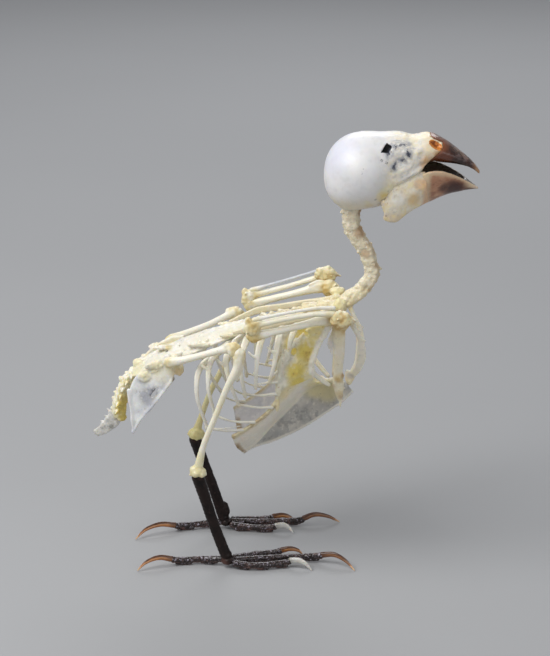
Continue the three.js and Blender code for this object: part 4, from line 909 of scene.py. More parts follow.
def build_mandible():
    c = Clay(0.1)
    for s in (-1, 1):
        rows = [
            mirror([[15.75, 4.65, 57.25], [15.8, 4.8, 58.6], [15.85, 4.5, 60.0]], s), mirror([[16.4, 4.7, 57.0], [16.4, 4.85, 59.4], [16.4, 4.3, 61.4]], s),
            mirror([[17.3, 4.5, 57.0], [17.3, 4.8, 60.0], [17.3, 4.2, 62.3]], s),
            mirror([[18.5, 4.1, 57.75], [18.45, 4.5, 60.6], [18.4, 4.0, 63.1]], s), mirror([[20.1, 3.5, 58.75], [20.0, 4.15, 61.2], [19.9, 3.65, 63.8]], s),
            mirror([[22.4, 2.7, 59.72], [22.3, 3.7, 61.8], [22.2, 3.4, 64.2]], s)]
        sheet(c, rows, lambda u, v, P: 0.62 + 0.18 * np.exp(-((v - 0.03) / 0.10) ** 2) - 0.1 * smoothstep(v, 0.8, 1.0)
              + 0.16 * fbm(P, 1.0, 2, 21))
        gristle(c, mirror([15.7, 4.6, 59.3], s), (0.7, 0.5, 1.1), 20, 70 + s, r=(0.2, 0.35))
        rod(c, mirror([[15.9, 4.7, 57.4], [15.75, 4.5, 58.1]], s), [0.36, 0.3])
    sheet(c, [[[20.6, -3.3, 59.1], [20.7, 0, 59.0], [20.6, 3.3, 59.1]], [[22.3, -2.7, 59.75], [22.3, 0, 59.3], [22.3, 2.7, 59.75]]], 0.55)
    v = c.solid()
    v.cut(lambda X, Y, Z: 22.2 - X - 0.12 * (Z - 61))

    def paint(V, N):
        x, y, z = V.T
        n1, n2, n3 = fbm(V, 1.6, 3, 14), fbm(V, 0.55, 3, 18), fbm(V, 0.25, 2, 23)
        C = np.broadcast_to(col("e6dfcb"), V.shape).copy()
        C = mixc(C, col("d9cfc0"), smoothstep(n1, -0.2, 0.6))
        out = smoothstep(y * np.sign(y), 2.5, 3.2)
        sp = []
        for s in (-1, 1):
            sp += [(20.9, s * 4.1, 62.4, 1.3, 0.85), (20.0, s * 4.0, 60.2, 1.6, 0.9), (18.4, s * 4.4, 61.2, 1.3, 0.3)]
        m = blob_mask(V, sp) * out
        C = mixc(C, col("dcb877"), m * (0.75 + 0.4 * n2))
        C = mixc(C, col("d9b48e"), 0.6 * blob_mask(V, [(20.9, s * 4.1, 62.5, 1.2, 1) for s in (-1, 1)]))
        C = mixc(C, col("cbb188"), 0.5 * smoothstep(-z + 0.2 * n2, -58.6, -57.4))
        C = mixc(C, col("e6d6a2"), 0.6 * smoothstep(n2 + 0.3 * n1, 0.0, 0.5))
        C = mixc(C, col("b9b2a6"), 0.45 * smoothstep(-n2 + 0.3 * n3, 0.15, 0.6))
        # painted highlight: a white patch on each side of the jaw plate
        C = mixc(C, WHITE, 0.6 * blob_mask(V, [(17.6, s * 4.7, 60.4, 1.6, 1) for s in (-1, 1)]) * (0.8 + n2))
        C = mixc(C, BROWN, 0.5 * smoothstep(n3 + 0.3 * n1, 0.5, 0.8))
        C = mixc(C, col("c8935c"), 0.6 * smoothstep(x, 21.0, 21.9))
        return C, 0.34 + 0.1 * n2

    return finish("mandible", v, "skull", paint, ["mandible"], soft=1, smooth=1,
                  rough_up=[(0.06, 1.1, 3), (0.03, 0.4, 2)])


LOWER = [[21.4, 64.0, 58.3, 4.0], [22.2, 64.25, 58.6, 3.9], [23.2, 64.4, 59.0, 3.65], [24.45, 64.25, 59.6, 3.2], [25.9, 63.68, 60.08, 2.6],
         [27.3, 62.95, 60.38, 1.95], [28.3, 62.3, 60.6, 1.4], [29.3, 61.6, 60.68, 0.8], [30.3, 60.98, 60.72, 0.22]]


def build_lower_bill():
    st = np.array(LOWER)
    v = Vol((21.0, -4.2, 58.1), (30.6, 4.2, 64.7), 0.09, pad=0.4)
    # lower half of a round body, open on top
    v.add(loft_x([[x, 2 * a - b, b, w] for x, a, b, w in LOWER], p=2.3))
    v.cut(lambda X, Y, Z: np.interp(X, st[:, 0], st[:, 1]) - Z, k=0.10)
    inner = [[x, 2 * a - b - 0.9, b + 0.9 + 0.1 * (x - 21), max(w - 0.62, 0.12)] for x, a, b, w in LOWER[:7]]
    inner[0][0] = 20.0
    v.cut(loft_x(inner, p=2.2), k=0.08)
    v.cut(lambda X, Y, Z: X - 21.75 + 0.12 * (Z - 61))

    def paint(V, N):
        x, y, z = V.T
        n1, n2, n3 = fbm(V * (0.5, 1, 1), 0.9, 3, 24), fbm(V * (0.4, 1, 1), 0.4, 3, 29), fbm(V, 0.25, 2, 33)
        top = np.interp(x, [21.4, 23.2, 25.9, 28.3, 30.3], [64.2, 64.4, 63.7, 62.3, 61.0])
        bot = np.interp(x, [21.4, 24.45, 27.3, 30.3], [58.4, 59.6, 60.4, 60.7])
        f = (z - bot) / np.maximum(top - bot, 0.2)
        C = np.broadcast_to(col("b08062"), V.shape).copy()
        C = mixc(C, col("c79c7c"), smoothstep(n1, -0.3, 0.5))
        C = mixc(C, col("8a5a44"), 0.6 * smoothstep(n2 + 0.4 * n1, -0.1, 0.5))
        C = mixc(C, col("5c3023"), 0.85 * smoothstep(x + 0.8 * n1 - 1.2 * (1 - f), 23.2, 26.0) * (1 - smoothstep(f, 0.55, 0.9)))
        C = mixc(C, col("3c1c15"), 0.9 * blob_mask(V, [(25.0, s * 3.0, 61.3, 1.5, 0.9) for s in (-1, 1)] + [(26.4, s * 2.2, 60.9, 2.4, 1) for s in (-1, 1)]
                                                 + [(28.3, 0, 60.8, 1.5, 0.9)]))
        C = mixc(C, col("d8bd9a"), 0.85 * smoothstep(f + 0.1 * n2, 0.78, 0.98))
        C = mixc(C, col("dcc6a6"), smoothstep(x + 0.4 * n2, 27.6, 29.4) * smoothstep(f, 0.2, 0.6))
        C = mixc(C, col("ddcfb8"), 0.9 * smoothstep(x, 29.2, 30.1))
        C = mixc(C, col("e0cdaa"), 0.75 * (1 - smoothstep(x, 22.1, 23.0)))
        # inner walls of the lower bill painted near-black: partly the horn's own dark inside, partly painted shade in
        # the mouth gap
        wide = np.interp(x, st[:, 0], st[:, 3]) * np.sqrt(np.clip(1 - (1 - np.clip(f, 0, 1)) ** 2.3, 0, 1))
        inside = smoothstep(wide - np.abs(y), 0.30, 0.55) * (f > 0.12)
        C = mixc(C, col("1a0f0b"), 0.93 * inside)
        return C, 0.30 + 0.08 * n2

    return finish("lower_bill", v, "horn", paint, ["lower_bill"], soft=1, smooth=1, rough_up=[(0.03, 0.8, 2)])


# ---- neck and back
def vertebrae(c, pts, u0, u1, count, r=(1.0, 1.0), seed=0, spine=0.5, back=-1):
    """Knobbly bones in a row. back is the side (-1: left of the path's XZ normal) where the small spines sit."""
    P, U, T = catmull(pts, 0.05)
    k = (U >= u0) & (U <= u1)
    P, U, T = P[k], U[k], T[k]
    s = np.concatenate([[0], np.cumsum(np.linalg.norm(np.diff(P, axis=0), axis=1))])
    rng = np.random.default_rng(seed)
    rr = np.interp(s, [0, s[-1]], r)
    pitch = s[-1] / count
    ph = (s / pitch) % 1.0
    c.stamp(P, rr * (0.95 + 0.05 * np.cos(2 * math.pi * ph)))
    for i in range(count):
        j = np.searchsorted(s, (i + 0.5) * pitch)
        p, t, q = P[j], T[j], rr[j]
        D = np.array((t[2], 0, -t[0])) * back
        Y = np.array((0, 1.0, 0))
        for e in (-1, 1):
            a = p + t * (e * 0.36 * pitch)
            for sy in (-1, 1):
                jit = rng.normal(0, 0.05, 3)
                rod(c, [p + Y * sy * 0.55 * q + D * 0.35 * q, a + Y * sy * 0.68 * q + D * 0.40 * q + jit, a + t * e * 0.12 + Y * sy * 0.76 * q + D * 0.48 * q],
                    [0.42 * q, 0.38 * q, 0.26 * q], step=0.1)
            c.stamp(a - D * 0.35 * q, 0.66 * q)
        tip = p + D * (0.80 + spine * rng.uniform(0.55, 1.0)) * q + t * rng.normal(0, 0.12)
        rod(c, [p + D * 0.3 * q, tip], [0.42 * q, 0.24 * q], step=0.08)
        for sy in (-1, 1):
            c.stamp(p - D * 0.72 * q + Y * sy * 0.38 * q + rng.normal(0, 0.06, 3), 0.34 * q)
    return P


def build_neck():
    for name, u0, u1, count, r, seed in (("neck_upper", -0.2, 3.93, 6, (1.42, 1.20), 3), ("neck_lower", 3.99, 8.2, 7, (1.16, 1.20), 8)):
        c = Clay(0.1)
        vertebrae(c, NECK, u0, u1, count, r, seed, spine=0.12)
        if name == "neck_upper":
            gristle(c, (10.35, 0, 57.2), (1.35, 1.5, 0.9), 50, 5, r=(0.2, 0.4))
            gristle(c, (11.1, 0.0, 55.2), (1.0, 1.1, 2.2), 40, 6, r=(0.2, 0.36))
            rod(c, [[9.4, -0.4, 57.6], [9.0, -0.5, 57.0]], [0.3, 0.16])
        else:
            rod(c, [[14.9, 0.1, 47.9], [15.45, 0.1, 47.75], [15.75, 0.1, 47.7]], [0.4, 0.22, 0.14])
            gristle(c, (12.9, -0.3, 45.6), (1.1, 1.1, 1.1), 36, 7, r=(0.2, 0.36))
            gristle(c, (11.0, 0.0, 43.6), (1.4, 1.2, 0.8), 36, 9, r=(0.2, 0.4))
        v = c.solid()

        def paint(V, N, name=name):
            x, y, z = V.T
            n1, n2, n3 = fbm(V, 1.5, 3, 44), fbm(V, 0.5, 3, 48), fbm(V, 0.22, 2, 53)
            C = np.broadcast_to(col("e2d8be"), V.shape).copy()
            # partly mottle, partly painted light: darker tan on forward-facing surfaces as painted shade, paler on
            # upward and rear-facing surfaces as painted light
            C = mixc(C, col("c9ae84"), 0.8 * smoothstep(n1 + 0.5 * N[:, 0], 0.0, 0.8))
            C = mixc(C, col("ece4d2"), smoothstep(n2 + 0.4 * N[:, 2] - 0.2 * N[:, 0], 0.1, 0.7) * 0.9)
            C = mixc(C, col("b0855a"), 0.7 * blob_mask(V, [(11.9, -0.8, 54.0, 1.4, 0.9), (12.0, -0.6, 57.2, 1.0, 0.9), (12.9, -1, 50.6, 1.1, 0.7), (14.4, -.6, 48.6, 1.0, 0.5)]))
            C = mixc(C, YELLOW, 0.55 * smoothstep(-z + n1, -45.8, -43.5) * smoothstep(n2, -0.5, 0.4))
            C = mixc(C, col("6f5a48"), 0.5 * smoothstep(n3 + 0.3 * n2, 0.42, 0.8))
            return C, 0.42 + 0.12 * n2

        finish(name, v, "gristle", paint, [name], soft=2, smooth=1, rough_up=[(0.12, 0.6, 3), (0.05, 0.25, 2)])


def rib_half(s):
    c = Clay(0.1)
    side = SIDE[s]
    P, U, T = catmull(BACK, 0.06)
    L = np.concatenate([[0], np.cumsum(np.linalg.norm(np.diff(P, axis=0), axis=1))])
    ph = (L / 2.05) % 1.0
    c.stamp(P, 0.88 + 0.10 * np.cos(2 * math.pi * ph))
    rng = np.random.default_rng(90)
    # comb of back spines, broad plates with bumpy tops
    for i in range(9):
        j = np.searchsorted(L, min((i + 0.4) * 2.05, L[-1] - 0.01))
        p = P[j]
        hgt = np.interp(p[0], [-7.5, -5, 5, 9.3], [0.9, 1.45, 1.65, 2.0])
        for a in np.linspace(-0.75, 0.75, 6):
            q = p + np.array((a, 0, a * 0.15))
            rod(c, [q, q + np.array((-0.15, rng.normal(0, 0.05), hgt * (1 - 0.14 * abs(a) + rng.normal(0, 0.05))))], [0.34, 0.26 + 0.10 * rng.random()], step=0.1)
        rod(c, [p + (0, 0, 0.1), p + np.array((-0.1, s * 1.5, 0.55)), p + np.array((-0.25, s * 2.1, 0.35))], [0.6, 0.42, 0.28])
        gristle(c, p + np.array((rng.normal(0, 0.3), s * 1.1, 0.5)), (0.6, 0.6, 0.45), 12, 200 + i, r=(0.16, 0.3), core=0.5)
    # front of the back: gristle that runs on into the neck
    gristle(c, (7.6, s * 1.0, 42.1), (2.0, 1.1, 0.9), 60, 300 + s, r=(0.22, 0.42))
    gristle(c, (4.4, s * 0.8, 41.5), (1.7, 0.9, 0.7), 44, 310 + s, r=(0.2, 0.4))
    if s > 0:
        gristle(c, (8.7, 2.9, 43.2), (1.5, 0.9, 0.85), 40, 320, r=(0.22, 0.4))
        rod(c, [[8.0, 1.4, 42.0], [8.8, 2.6, 42.8]], [0.8, 0.6])
    else:
        gristle(c, (8.9, -2.9, 42.7), (1.1, 0.85, 1.15), 40, 321, r=(0.22, 0.4))
        rod(c, [[8.0, -1.4, 41.9], [8.8, -2.4, 42.5]], [0.8, 0.55])
        c.stamp((6.1, -0.45, 41.5), 0.35)
    for k, (up, low) in enumerate(RIBS[s]):
        q = mirror(up, s)
        rod(c, q, [(0.34, 0.40), (0.58, 0.30), (0.50, 0.27), (0.34, 0.27), (0.26, 0.25)] if len(q) == 5
            else [(0.34, 0.40), (0.55, 0.30), (0.42, 0.27), (0.24, 0.24)])
        if low is None:
            continue
        end = q[-1]
        lw = mirror(low, s)
        P2, U2, T2 = catmull(lw, 0.06)
        start = P2[0]
        run = np.vstack([[end], lw]) if np.linalg.norm(end - start) > 0.3 else lw
        rod(c, run, [0.26, 0.2, 0.19, 0.3] if len(run) == 4 else [0.24, 0.19, 0.28])
        gristle(c, end, (0.30, 0.26, 0.36), 12, 400 + k + 10 * s, r=(0.14, 0.24), core=0.9)
        if 1 <= k <= 5:
            # small hook that leans back over the next rib
            Pu, Uu, _ = catmull(q, 0.06)
            h0 = Pu[np.searchsorted(Uu, 2.35)]
            rod(c, [h0, h0 + np.array((-0.75, s * 0.12, 0.45)), h0 + np.array((-1.35, s * 0.05, 1.05))], [0.3, (0.26, 0.2), 0.16])
    if s < 0:
        # dried sinew between the hind ribs and the back edge of the breastbone
        strand(c, (-11.8, -7.1, 23.8), (-6.6, -6.6, 24.0), 0.14, 0.2)
        strand(c, (-4.1, -8.1, 33.8), (-4.5, -8.2, 33.1), 0.22, 0)
    v = c.solid()
    v.cut(lambda X, Y, Z: s * Y - 0.004)
    # spots at the rib ends and the front of the back that are painted yellow and ochre
    ends = [(q[-1][0], s * q[-1][1], q[-1][2], 1.0, 0.6) for q, _ in RIBS[s]]
    ends += [(7.6, s * 1.0, 42.3, 3.0, 0.75), (4.0, s * 1, 41.4, 2.6, 0.6), (9.2, s * 1.5, 42.2, 2.2, 0.8)]

    def paint(V, N):
        x, y, z = V.T
        C, R = bone_paint(V, N, base=col("ece9de"), yellow=0.22, underside_shade=0.25, ends=ends, end_colour=col("d6c382"), dirt=0.35, seed=60 + s, greys=0.0)
        low = 1 - smoothstep(z, 29, 34.5)
        C = mixc(C, col("cfccc4"), 0.55 * low)
        C = mixc(C, col("dccda6"), 0.45 * smoothstep(z, 39.2, 41.2))
        n2 = fbm(V, 0.5, 3, 77)
        C = mixc(C, col("b48f69"), 0.5 * smoothstep(z, 40.0, 41.5) * smoothstep(n2, 0.1, 0.6))
        C = mixc(C, col("e9dfa0"), 0.7 * blob_mask(V, [(8.9, s * 2.9, 43.0, 2.0, 1)]) * (0.8 + 0.5 * n2))
        return C, R

    ob = finish(f"rib_cage_{side}", v, "bone", paint, [f"rib_cage_{side}"], soft=1, smooth=1,
                rough_up=[(0.05, 0.6, 3), (0.08, 0.4, 2, lambda V: smoothstep(V[:, 2], 39.6, 41.0))])
    return ob


# ---- breastbone
def build_sternum():
    c = Clay(0.1)
    rows = np.array([[[x, -y, z] for x, y, z in r[1:]][::-1] + r for r in STERNUM_ROWS])

    def thick(u, v, P):
        a = np.abs(v - 0.5) * 2
        t = 0.30 + 0.14 * (a > 0.93) + 0.10 * fbm(P, 1.3, 2, 61) + 0.25 * np.exp(-(a / 0.10) ** 2) + 0.20 * smoothstep(u, 0.72, 0.9)
        return t + 0.10 * np.exp(-((u - 0.0) / 0.03) ** 2)

    # front corners stay as horns; between them the front edge is cut back in a hollow curve
    def keep(u, v, P):
        a = np.abs(v - 0.5) * 2
        front = 0.865 + 0.135 * smoothstep(a, 0.30, 0.96) ** 0.8
        front = np.maximum(front, 0.93 * (a < 0.16))
        return u <= front

    sheet(c, rows, thick, keep=keep)
    # keel
    keel = np.array(KEEL_ROWS, float)

    def kt(u, v, P):
        return 0.24 + 0.34 * (v - 0.0 < 0.16) * (1 - v / 0.16) + 0.16 * smoothstep(v, 0.93, 1.0) + 0.25 * smoothstep(u, 0.9, 1.0) + 0.05 * fbm(P, 1.0, 2, 62)

    sheet(c, keel, kt)
    # strong bar where keel and plate meet, widening to the back
    root = [[-6.4, 0, 17.35], [-4.3, 0, 18.95], [-1.5, 0, 22.2], [1.1, 0, 24.9], [3.4, 0, 27.3], [5.6, 0, 28.8], [8.6, 0, 29.3]]
    for s in (-1, 1):
        rod(c, [(x, s * w, z + 0.12) for (x, _, z), w in zip(root, (0.25, 0.45, 0.5, 0.45, 0.4, 0.35, 0.3))], [0.34, 0.34, 0.3, 0.28, 0.26, 0.3, 0.4])
        # rims
        edge = mirror([r[3] for r in STERNUM_ROWS], s)
        rod(c, edge, [0.24, 0.26, 0.28, 0.34, 0.42, 0.45, 0.36])
        rod(c, mirror(STERNUM_ROWS[0], s), [0.26, 0.22, 0.2, 0.22], step=0.08)
        # smooth strut that sweeps up to the shoulder, with dried skin stretched behind it
        rod(c, mirror([[7.3, 2.2, 29.3], [5.9, 3.3, 30.7], [4.75, 4.5, 32.2], [4.5, 5.2, 33.6], [4.8, 5.55, 35.2], [5.45, 5.65, 36.8], [6.3, 5.7, 38.7], [7.05, 5.75, 40.2]], s),
            [0.34, 0.40, 0.46, 0.48, 0.48, 0.48, 0.46, 0.5])
        skin = [[[-0.4, 6.4, 30.2], [1.6, 5.8, 30.6], [4.6, 4.5, 31.4]], [[-0.75, 6.7, 32.6], [1.8, 6.2, 32.6], [4.4, 5.3, 33.0]],
                [[0.4, 6.85, 35.4], [2.6, 6.4, 35.4], [4.8, 5.6, 35.5]], [[1.95, 6.85, 37.9], [3.9, 6.4, 38.1], [6.0, 5.75, 38.2]],
                [[4.3, 6.4, 40.1], [5.6, 6.1, 40.4], [7.0, 5.8, 40.6]]]
        sheet(c, [mirror(r, s) for r in skin], lambda u, v, P: 0.36 + 0.34 * fbm(P, 0.9, 3, 66) + 0.30 * np.exp(-(v / 0.10) ** 2))
        # dried gristle along the row of rib ends
        for (px, py, pz), sz, n in (((-0.65, 6.5, 30.3), (0.6, 0.5, 1.7), 40), ((-0.35, 6.65, 33.2), (0.6, 0.5, 1.6), 40), ((0.7, 6.8, 35.8), (0.8, 0.5, 1.5), 40),
                                    ((2.4, 6.7, 38.0), (0.9, 0.5, 0.9), 34), ((5.6, 6.1, 40.3), (1.3, 0.55, 0.7), 40), ((-0.9, 6.3, 27.8), (0.45, 0.4, 1.4), 30)):
            gristle(c, (px, s * py, pz), sz, n, int(500 + 10 * px + pz + 3 * s), r=(0.14, 0.28), core=0.6)
    gristle(c, (9.9, 0, 28.2), (0.8, 0.5, 0.7), 30, 555, r=(0.16, 0.3))
    v = c.solid()
    # hole in the dried skin near the front horn
    v.cut(ellipsoid((1.7, -6.6, 36.4), (0.42, 1.6, 0.70), turn=-15), k=0.1)
    v.cut(ellipsoid((3.7, -6.2, 39.2), (0.35, 1.6, 0.5), turn=30), k=0.1)

    def paint(V, N):
        x, y, z = V.T
        n1, n2, n3 = fbm(V, 1.8, 3, 64), fbm(V, 0.6, 3, 68), fbm(V, 0.28, 2, 73)
        root_z = np.interp(x, [p[0] for p in root], [p[2] for p in root])
        is_keel = (np.abs(y) < 0.5) & (z < root_z - 0.25)
        C = np.broadcast_to(col("e6e1d2"), V.shape).copy()
        inside = smoothstep(N[:, 2], -0.1, 0.35)
        C = mixc(C, col("c9cad6"), 0.8 * inside * (y > 0) * (1 - smoothstep(x + z * 0.3, 7.0, 11.0)))
        C = mixc(C, WHITE, 0.4 * smoothstep(n2, 0.0, 0.6))
        C = mixc(C, col("a9abb6"), 0.4 * inside * (y > 0) * smoothstep(n1, 0.0, 0.6))
        # keel: grey and glassy with darker clouds
        k = is_keel.astype(float)
        f = np.clip((root_z - z) / 4.5, 0, 1)
        kc = np.broadcast_to(col("b4b3ad"), V.shape).copy()
        kc = mixc(kc, col("d2cfc6"), 0.7 * smoothstep(n1 + 0.4 * n2, 0.0, 0.7))
        kc = mixc(kc, col("888988"), 0.65 * smoothstep(n2 + 0.5 * n1 + 0.35 * n3, 0.10, 0.55))
        kc = mixc(kc, col("8d8d8d"), 0.45 * smoothstep(-n1 + 0.3 * n3, 0.1, 0.6))
        kc = mixc(kc, col("e4e2da"), 0.45 * smoothstep(n3 - 0.3 * n2, 0.25, 0.6))
        kc = mixc(kc, col("d8cf9f"), 0.75 * blob_mask(V, [(7.2, 0, 27.5, 2.6, 1), (5.5, 0, 27.6, 1.8, 0.8)]))
        kc = mixc(kc, col("dfdcd2"), 0.75 * blob_mask(V, [(3.0, 0, 26.0, 1.7, 0.6), (9.8, 0, 27.0, 1.6, 0.7)]))
        # painted highlight: a pale band along the lower edge of the keel
        low_z = np.interp(x, [-6.2, -4.3, -1.6, 2.1, 4.9, 7.6, 9.5, 11.0], [17, 18.1, 19, 20.7, 22.4, 24.3, 25.7, 27.4])
        kc = mixc(kc, col("e2dfd6"), 0.9 * (1 - smoothstep(z - low_z, 0.12, 0.42)))
        C = mixc(C, kc, k)
        # light bar along the keel's root and brown back rim
        bar = (1 - smoothstep(np.abs(z - root_z - 0.1), 0.4, 0.9)) * (np.abs(y) < 1.6) * (1 - 0.6 * inside)
        C = mixc(C, col("ebe5d3"), 0.9 * bar * (1 - smoothstep(x + 0.5 * n2, 1.8, 4.2)))
        C = mixc(C, col("d9d0a4"), 0.75 * blob_mask(V, [(4.8, 0, 28.4, 2.8, 1), (6.6, -1.5, 29.2, 2.4, 1)]))
        # thin cream and brown rim along both side edges
        ey = np.interp(x, [-7.8, -5.1, -2.3, -0.8], [6.5, 6.5, 6.3, 6.2])
        rim = (1 - smoothstep(ey - np.abs(y), 0.15, 0.6)) * (x < 0.2) * (z < 29.5)
        C = mixc(C, col("dccfa8"), 0.85 * rim)
        C = mixc(C, col("a58658"), 0.55 * rim * smoothstep(n2, -0.1, 0.4))
        rear = 1 - smoothstep(np.hypot(x - np.interp(np.abs(y), [0, 2.6, 4.8, 6.5], [-6.2, -6.9, -7.4, -7.8]), 0) + 0.25 * n2, 0.25, 0.75)
        C = mixc(C, col("a78a5c"), 0.85 * rear * smoothstep(np.abs(y), 0.2, 1.0) * (1 - smoothstep(np.abs(y), 4.4, 5.6)))
        C = mixc(C, col("8d6d45"), 0.7 * rear * smoothstep(n2, -0.1, 0.4) * (1 - smoothstep(np.abs(y), 3.6, 5.0)))
        # yellow dried tissue at the costal edge and front
        zz = smoothstep(z + 0.6 * n2, 26.6, 29.5) * smoothstep(np.abs(y), 3.6, 5.6)
        zz = np.maximum(zz, smoothstep(z + 0.8 * n1, 30.0, 32.5) * 0.9)
        zz = np.maximum(zz, 0.8 * blob_mask(V, [(5.0, s * 2.6, 30.5, 2.8, 1) for s in (-1, 1)]))
        C = mixc(C, col("e6d99c"), zz * (0.9 + 0.3 * n2))
        # pale grey skin along the rib ends, lemon yellow further forward
        C = mixc(C, col("d6d4cc"), 0.75 * zz * (1 - smoothstep(x - 0.30 * (z - 31) + 0.8 * n1, -0.4, 1.4)))
        C = mixc(C, col("dfc95e"), 0.85 * zz * blob_mask(V, [(1.9, s * 6.2, 33.2, 2.2, 1) for s in (-1, 1)] + [(3.2, s * 6, 36.6, 2.4, 1) for s in (-1, 1)]
                                                         + [(2.4, s * 5.6, 31.0, 1.8, 1) for s in (-1, 1)]))
        C = mixc(C, col("ccb056"), 0.6 * zz * smoothstep(n1 + 0.3 * n2, 0.05, 0.6))
        C = mixc(C, col("f2efe2"), 0.6 * zz * smoothstep(-n1 - 0.4 * n2, 0.12, 0.65))
        C = mixc(C, col("a98248"), 0.6 * zz * smoothstep(n3 + n1 * 0.4, 0.42, 0.75))
        # the strut stays pale
        sx = np.interp(z, [29.3, 30.7, 32.2, 33.6, 35.2, 36.8, 38.7, 40.2], [7.3, 5.9, 4.75, 4.5, 4.8, 5.45, 6.3, 7.05])
        st = (1 - smoothstep(np.abs(x - sx - 0.05), 0.35, 0.8)) * (z > 29.3) * (np.abs(y) > 1.8)
        C = mixc(C, col("f2eee0"), 0.9 * st)
        C = mixc(C, col("d6c494"), 0.35 * st * smoothstep(n2, 0.2, 0.6))
        return C, 0.34 + 0.08 * n2 + 0.10 * zz

    return finish("sternum", v, "thin", paint, ["sternum"], soft=1, smooth=1,
                  rough_up=[(0.04, 0.7, 3), (0.22, 1.15, 2, lambda V: smoothstep(V[:, 2], 28.5, 30.5) * smoothstep(np.abs(V[:, 1]), 4.9, 5.8)), (0.06, 0.45, 3, lambda V: smoothstep(V[:, 2], 28.5, 30.5) * smoothstep(np.abs(V[:, 1]), 3.5, 5.2))])


# ---- shoulder
def build_shoulder():
    for s in (-1, 1):
        side = SIDE[s]
        c = Clay(0.1)
        rod(c, mirror([[8.7, 5.2, 40.0], [8.8, 4.8, 37.6], [8.8, 4.2, 35.2], [8.75, 3.4, 32.2], [8.8, 2.6, 29.6], [9.0, 2.0, 27.6], [9.15, 1.7, 26.6]], s),
            [(1.05, 0.75), (0.98, 0.52), (0.90, 0.46), (0.70, 0.46), (0.88, 0.46), (0.62, 0.4), (0.34, 0.3)])
        gristle(c, mirror([9.0, 5.4, 40.4], s), (1.3, 0.95, 1.0), 90, 600 + s, r=(0.2, 0.42))
        gristle(c, mirror([9.0, 3.2, 31.0], s), (0.75, 0.5, 0.9), 40, 610 + s, r=(0.14, 0.3), core=0.5)
        gristle(c, mirror([8.9, 2.4, 28.8], s), (0.8, 0.45, 0.9), 36, 620 + s, r=(0.14, 0.3), core=0.5)
        if s < 0:
            rod(c, [[9.1, -1.7, 26.8], [9.2, -1.7, 25.9], [9.15, -1.65, 25.1]], [0.32, 0.2, 0.1])
            # shred of dried skin hanging behind the bone
            sheet(c, [[[7.7, -5.0, 39.2], [8.2, -4.9, 39.0]], [[7.1, -4.9, 37.6], [7.75, -4.7, 37.2]], [[7.2, -4.7, 36.3], [7.6, -4.6, 35.9]]], 0.22)
            rod(c, [[7.65, -4.7, 37.4], [7.55, -4.6, 36.0], [7.7, -4.5, 34.7]], [0.2, 0.17, 0.08])
            rod(c, [[7.25, -4.8, 37.4], [6.85, -4.8, 36.9]], [0.17, 0.1])
        v = c.solid()
        ends = [(9.0, s * 5.4, 40.2, 2.3, 1.0), (9.1, s * 3.2, 30.9, 1.3, 0.85), (9.0, s * 2.2, 28.0, 1.1, 0.5)]

        def paint(V, N, s=s, ends=ends):
            C, R = bone_paint(V, N, base=col("eae2cf"), yellow=0.2, underside_shade=0.1, ends=ends, end_colour=col("c9a768"), dirt=0.5, seed=80 + s)
            n2 = fbm(V, 0.5, 2, 84)
            C = mixc(C, col("a87f5a"), 0.6 * blob_mask(V, [(9.7, s * 3.4, 31.2, 0.9, 1), (8.4, s * 2.6, 29.4, 0.8, 0.8), (9.2, s * 1.9, 27.4, 0.9, 0.7)]) * (0.8 + n2))
            C = mixc(C, col("d2d0d2"), 0.6 * blob_mask(V, [(7.4, s * 4.8, 36.8, 1.3, 1)]))
            return C, R

        finish(f"coracoid_{side}", v, "bone", paint, [f"coracoid_{side}"], soft=1, smooth=1, rough_up=[(0.05, 0.6, 3), (0.03, 0.3, 2)])

    c = Clay(0.09)
    arm = [[10.6, 4.5, 40.5], [11.35, 3.9, 38.9], [12.15, 3.3, 37.2], [12.4, 2.7, 35.6], [12.4, 1.9, 33.7], [11.9, 1.0, 31.6]]
    pts = arm + [[11.1, 0, 30.4]] + mirror(arm, -1)[::-1].tolist()
    side_r = [(0.42, 0.36), (0.34, 0.3), (0.44, 0.26), (0.68, 0.24), (0.76, 0.24), (0.62, 0.26)]
    rod(c, pts, side_r + [(0.6, 0.34)] + side_r[::-1])
    sheet(c, [[[10.2, 0, 30.9], [11.5, 0, 30.6]], [[10.1, 0, 30.0], [11.3, 0, 29.7]], [[10.3, 0, 29.0], [10.9, 0, 28.9]]], 0.4)
    for s in (-1, 1):
        rod(c, mirror([[12.1, 3.25, 37.5], [12.6, 3.3, 37.15], [13.05, 3.35, 36.95]], s), [0.36, 0.24, 0.1])
        gristle(c, mirror([10.7, 4.5, 40.6], s), (0.75, 0.6, 0.75), 40, 640 + s, r=(0.16, 0.34))
    gristle(c, (10.6, 0, 29.2), (0.6, 0.35, 0.6), 24, 650, r=(0.12, 0.26))
    v = c.solid()

    def paint(V, N):
        ends = [(10.6, s * 4.5, 40.5, 1.8, 0.9) for s in (-1, 1)] + [(10.6, 0, 29.4, 1.3, 0.5)]
        C, R = bone_paint(V, N, base=col("f1ede0"), yellow=0.12, underside_shade=0.15, ends=ends, end_colour=col("c9a768"), dirt=0.3, seed=90)
        C = mixc(C, col("d8d6cc"), 0.4 * smoothstep(fbm(V, 1.2, 2, 91), -0.1, 0.5))
        C = mixc(C, col("bdbdc2"), 0.5 * blob_mask(V, [(10.8, 0, 30.2, 1.0, 1)]))
        return C, R

    finish("furcula", v, "thin", paint, ["furcula"], soft=1, smooth=1, rough_up=[(0.04, 0.7, 3)])

    for s in (-1, 1):
        side = SIDE[s]
        c = Clay(0.09)
        rod(c, SCAPULA[s], [(0.5, 0.62), (0.52, 0.28), (0.55, 0.24), (0.62, 0.22), (0.34, 0.2)])
        gristle(c, mirror([8.0, 4.7, 41.4], s), (0.8, 0.6, 0.7), 40, 660 + s, r=(0.16, 0.34))
        v = c.solid()

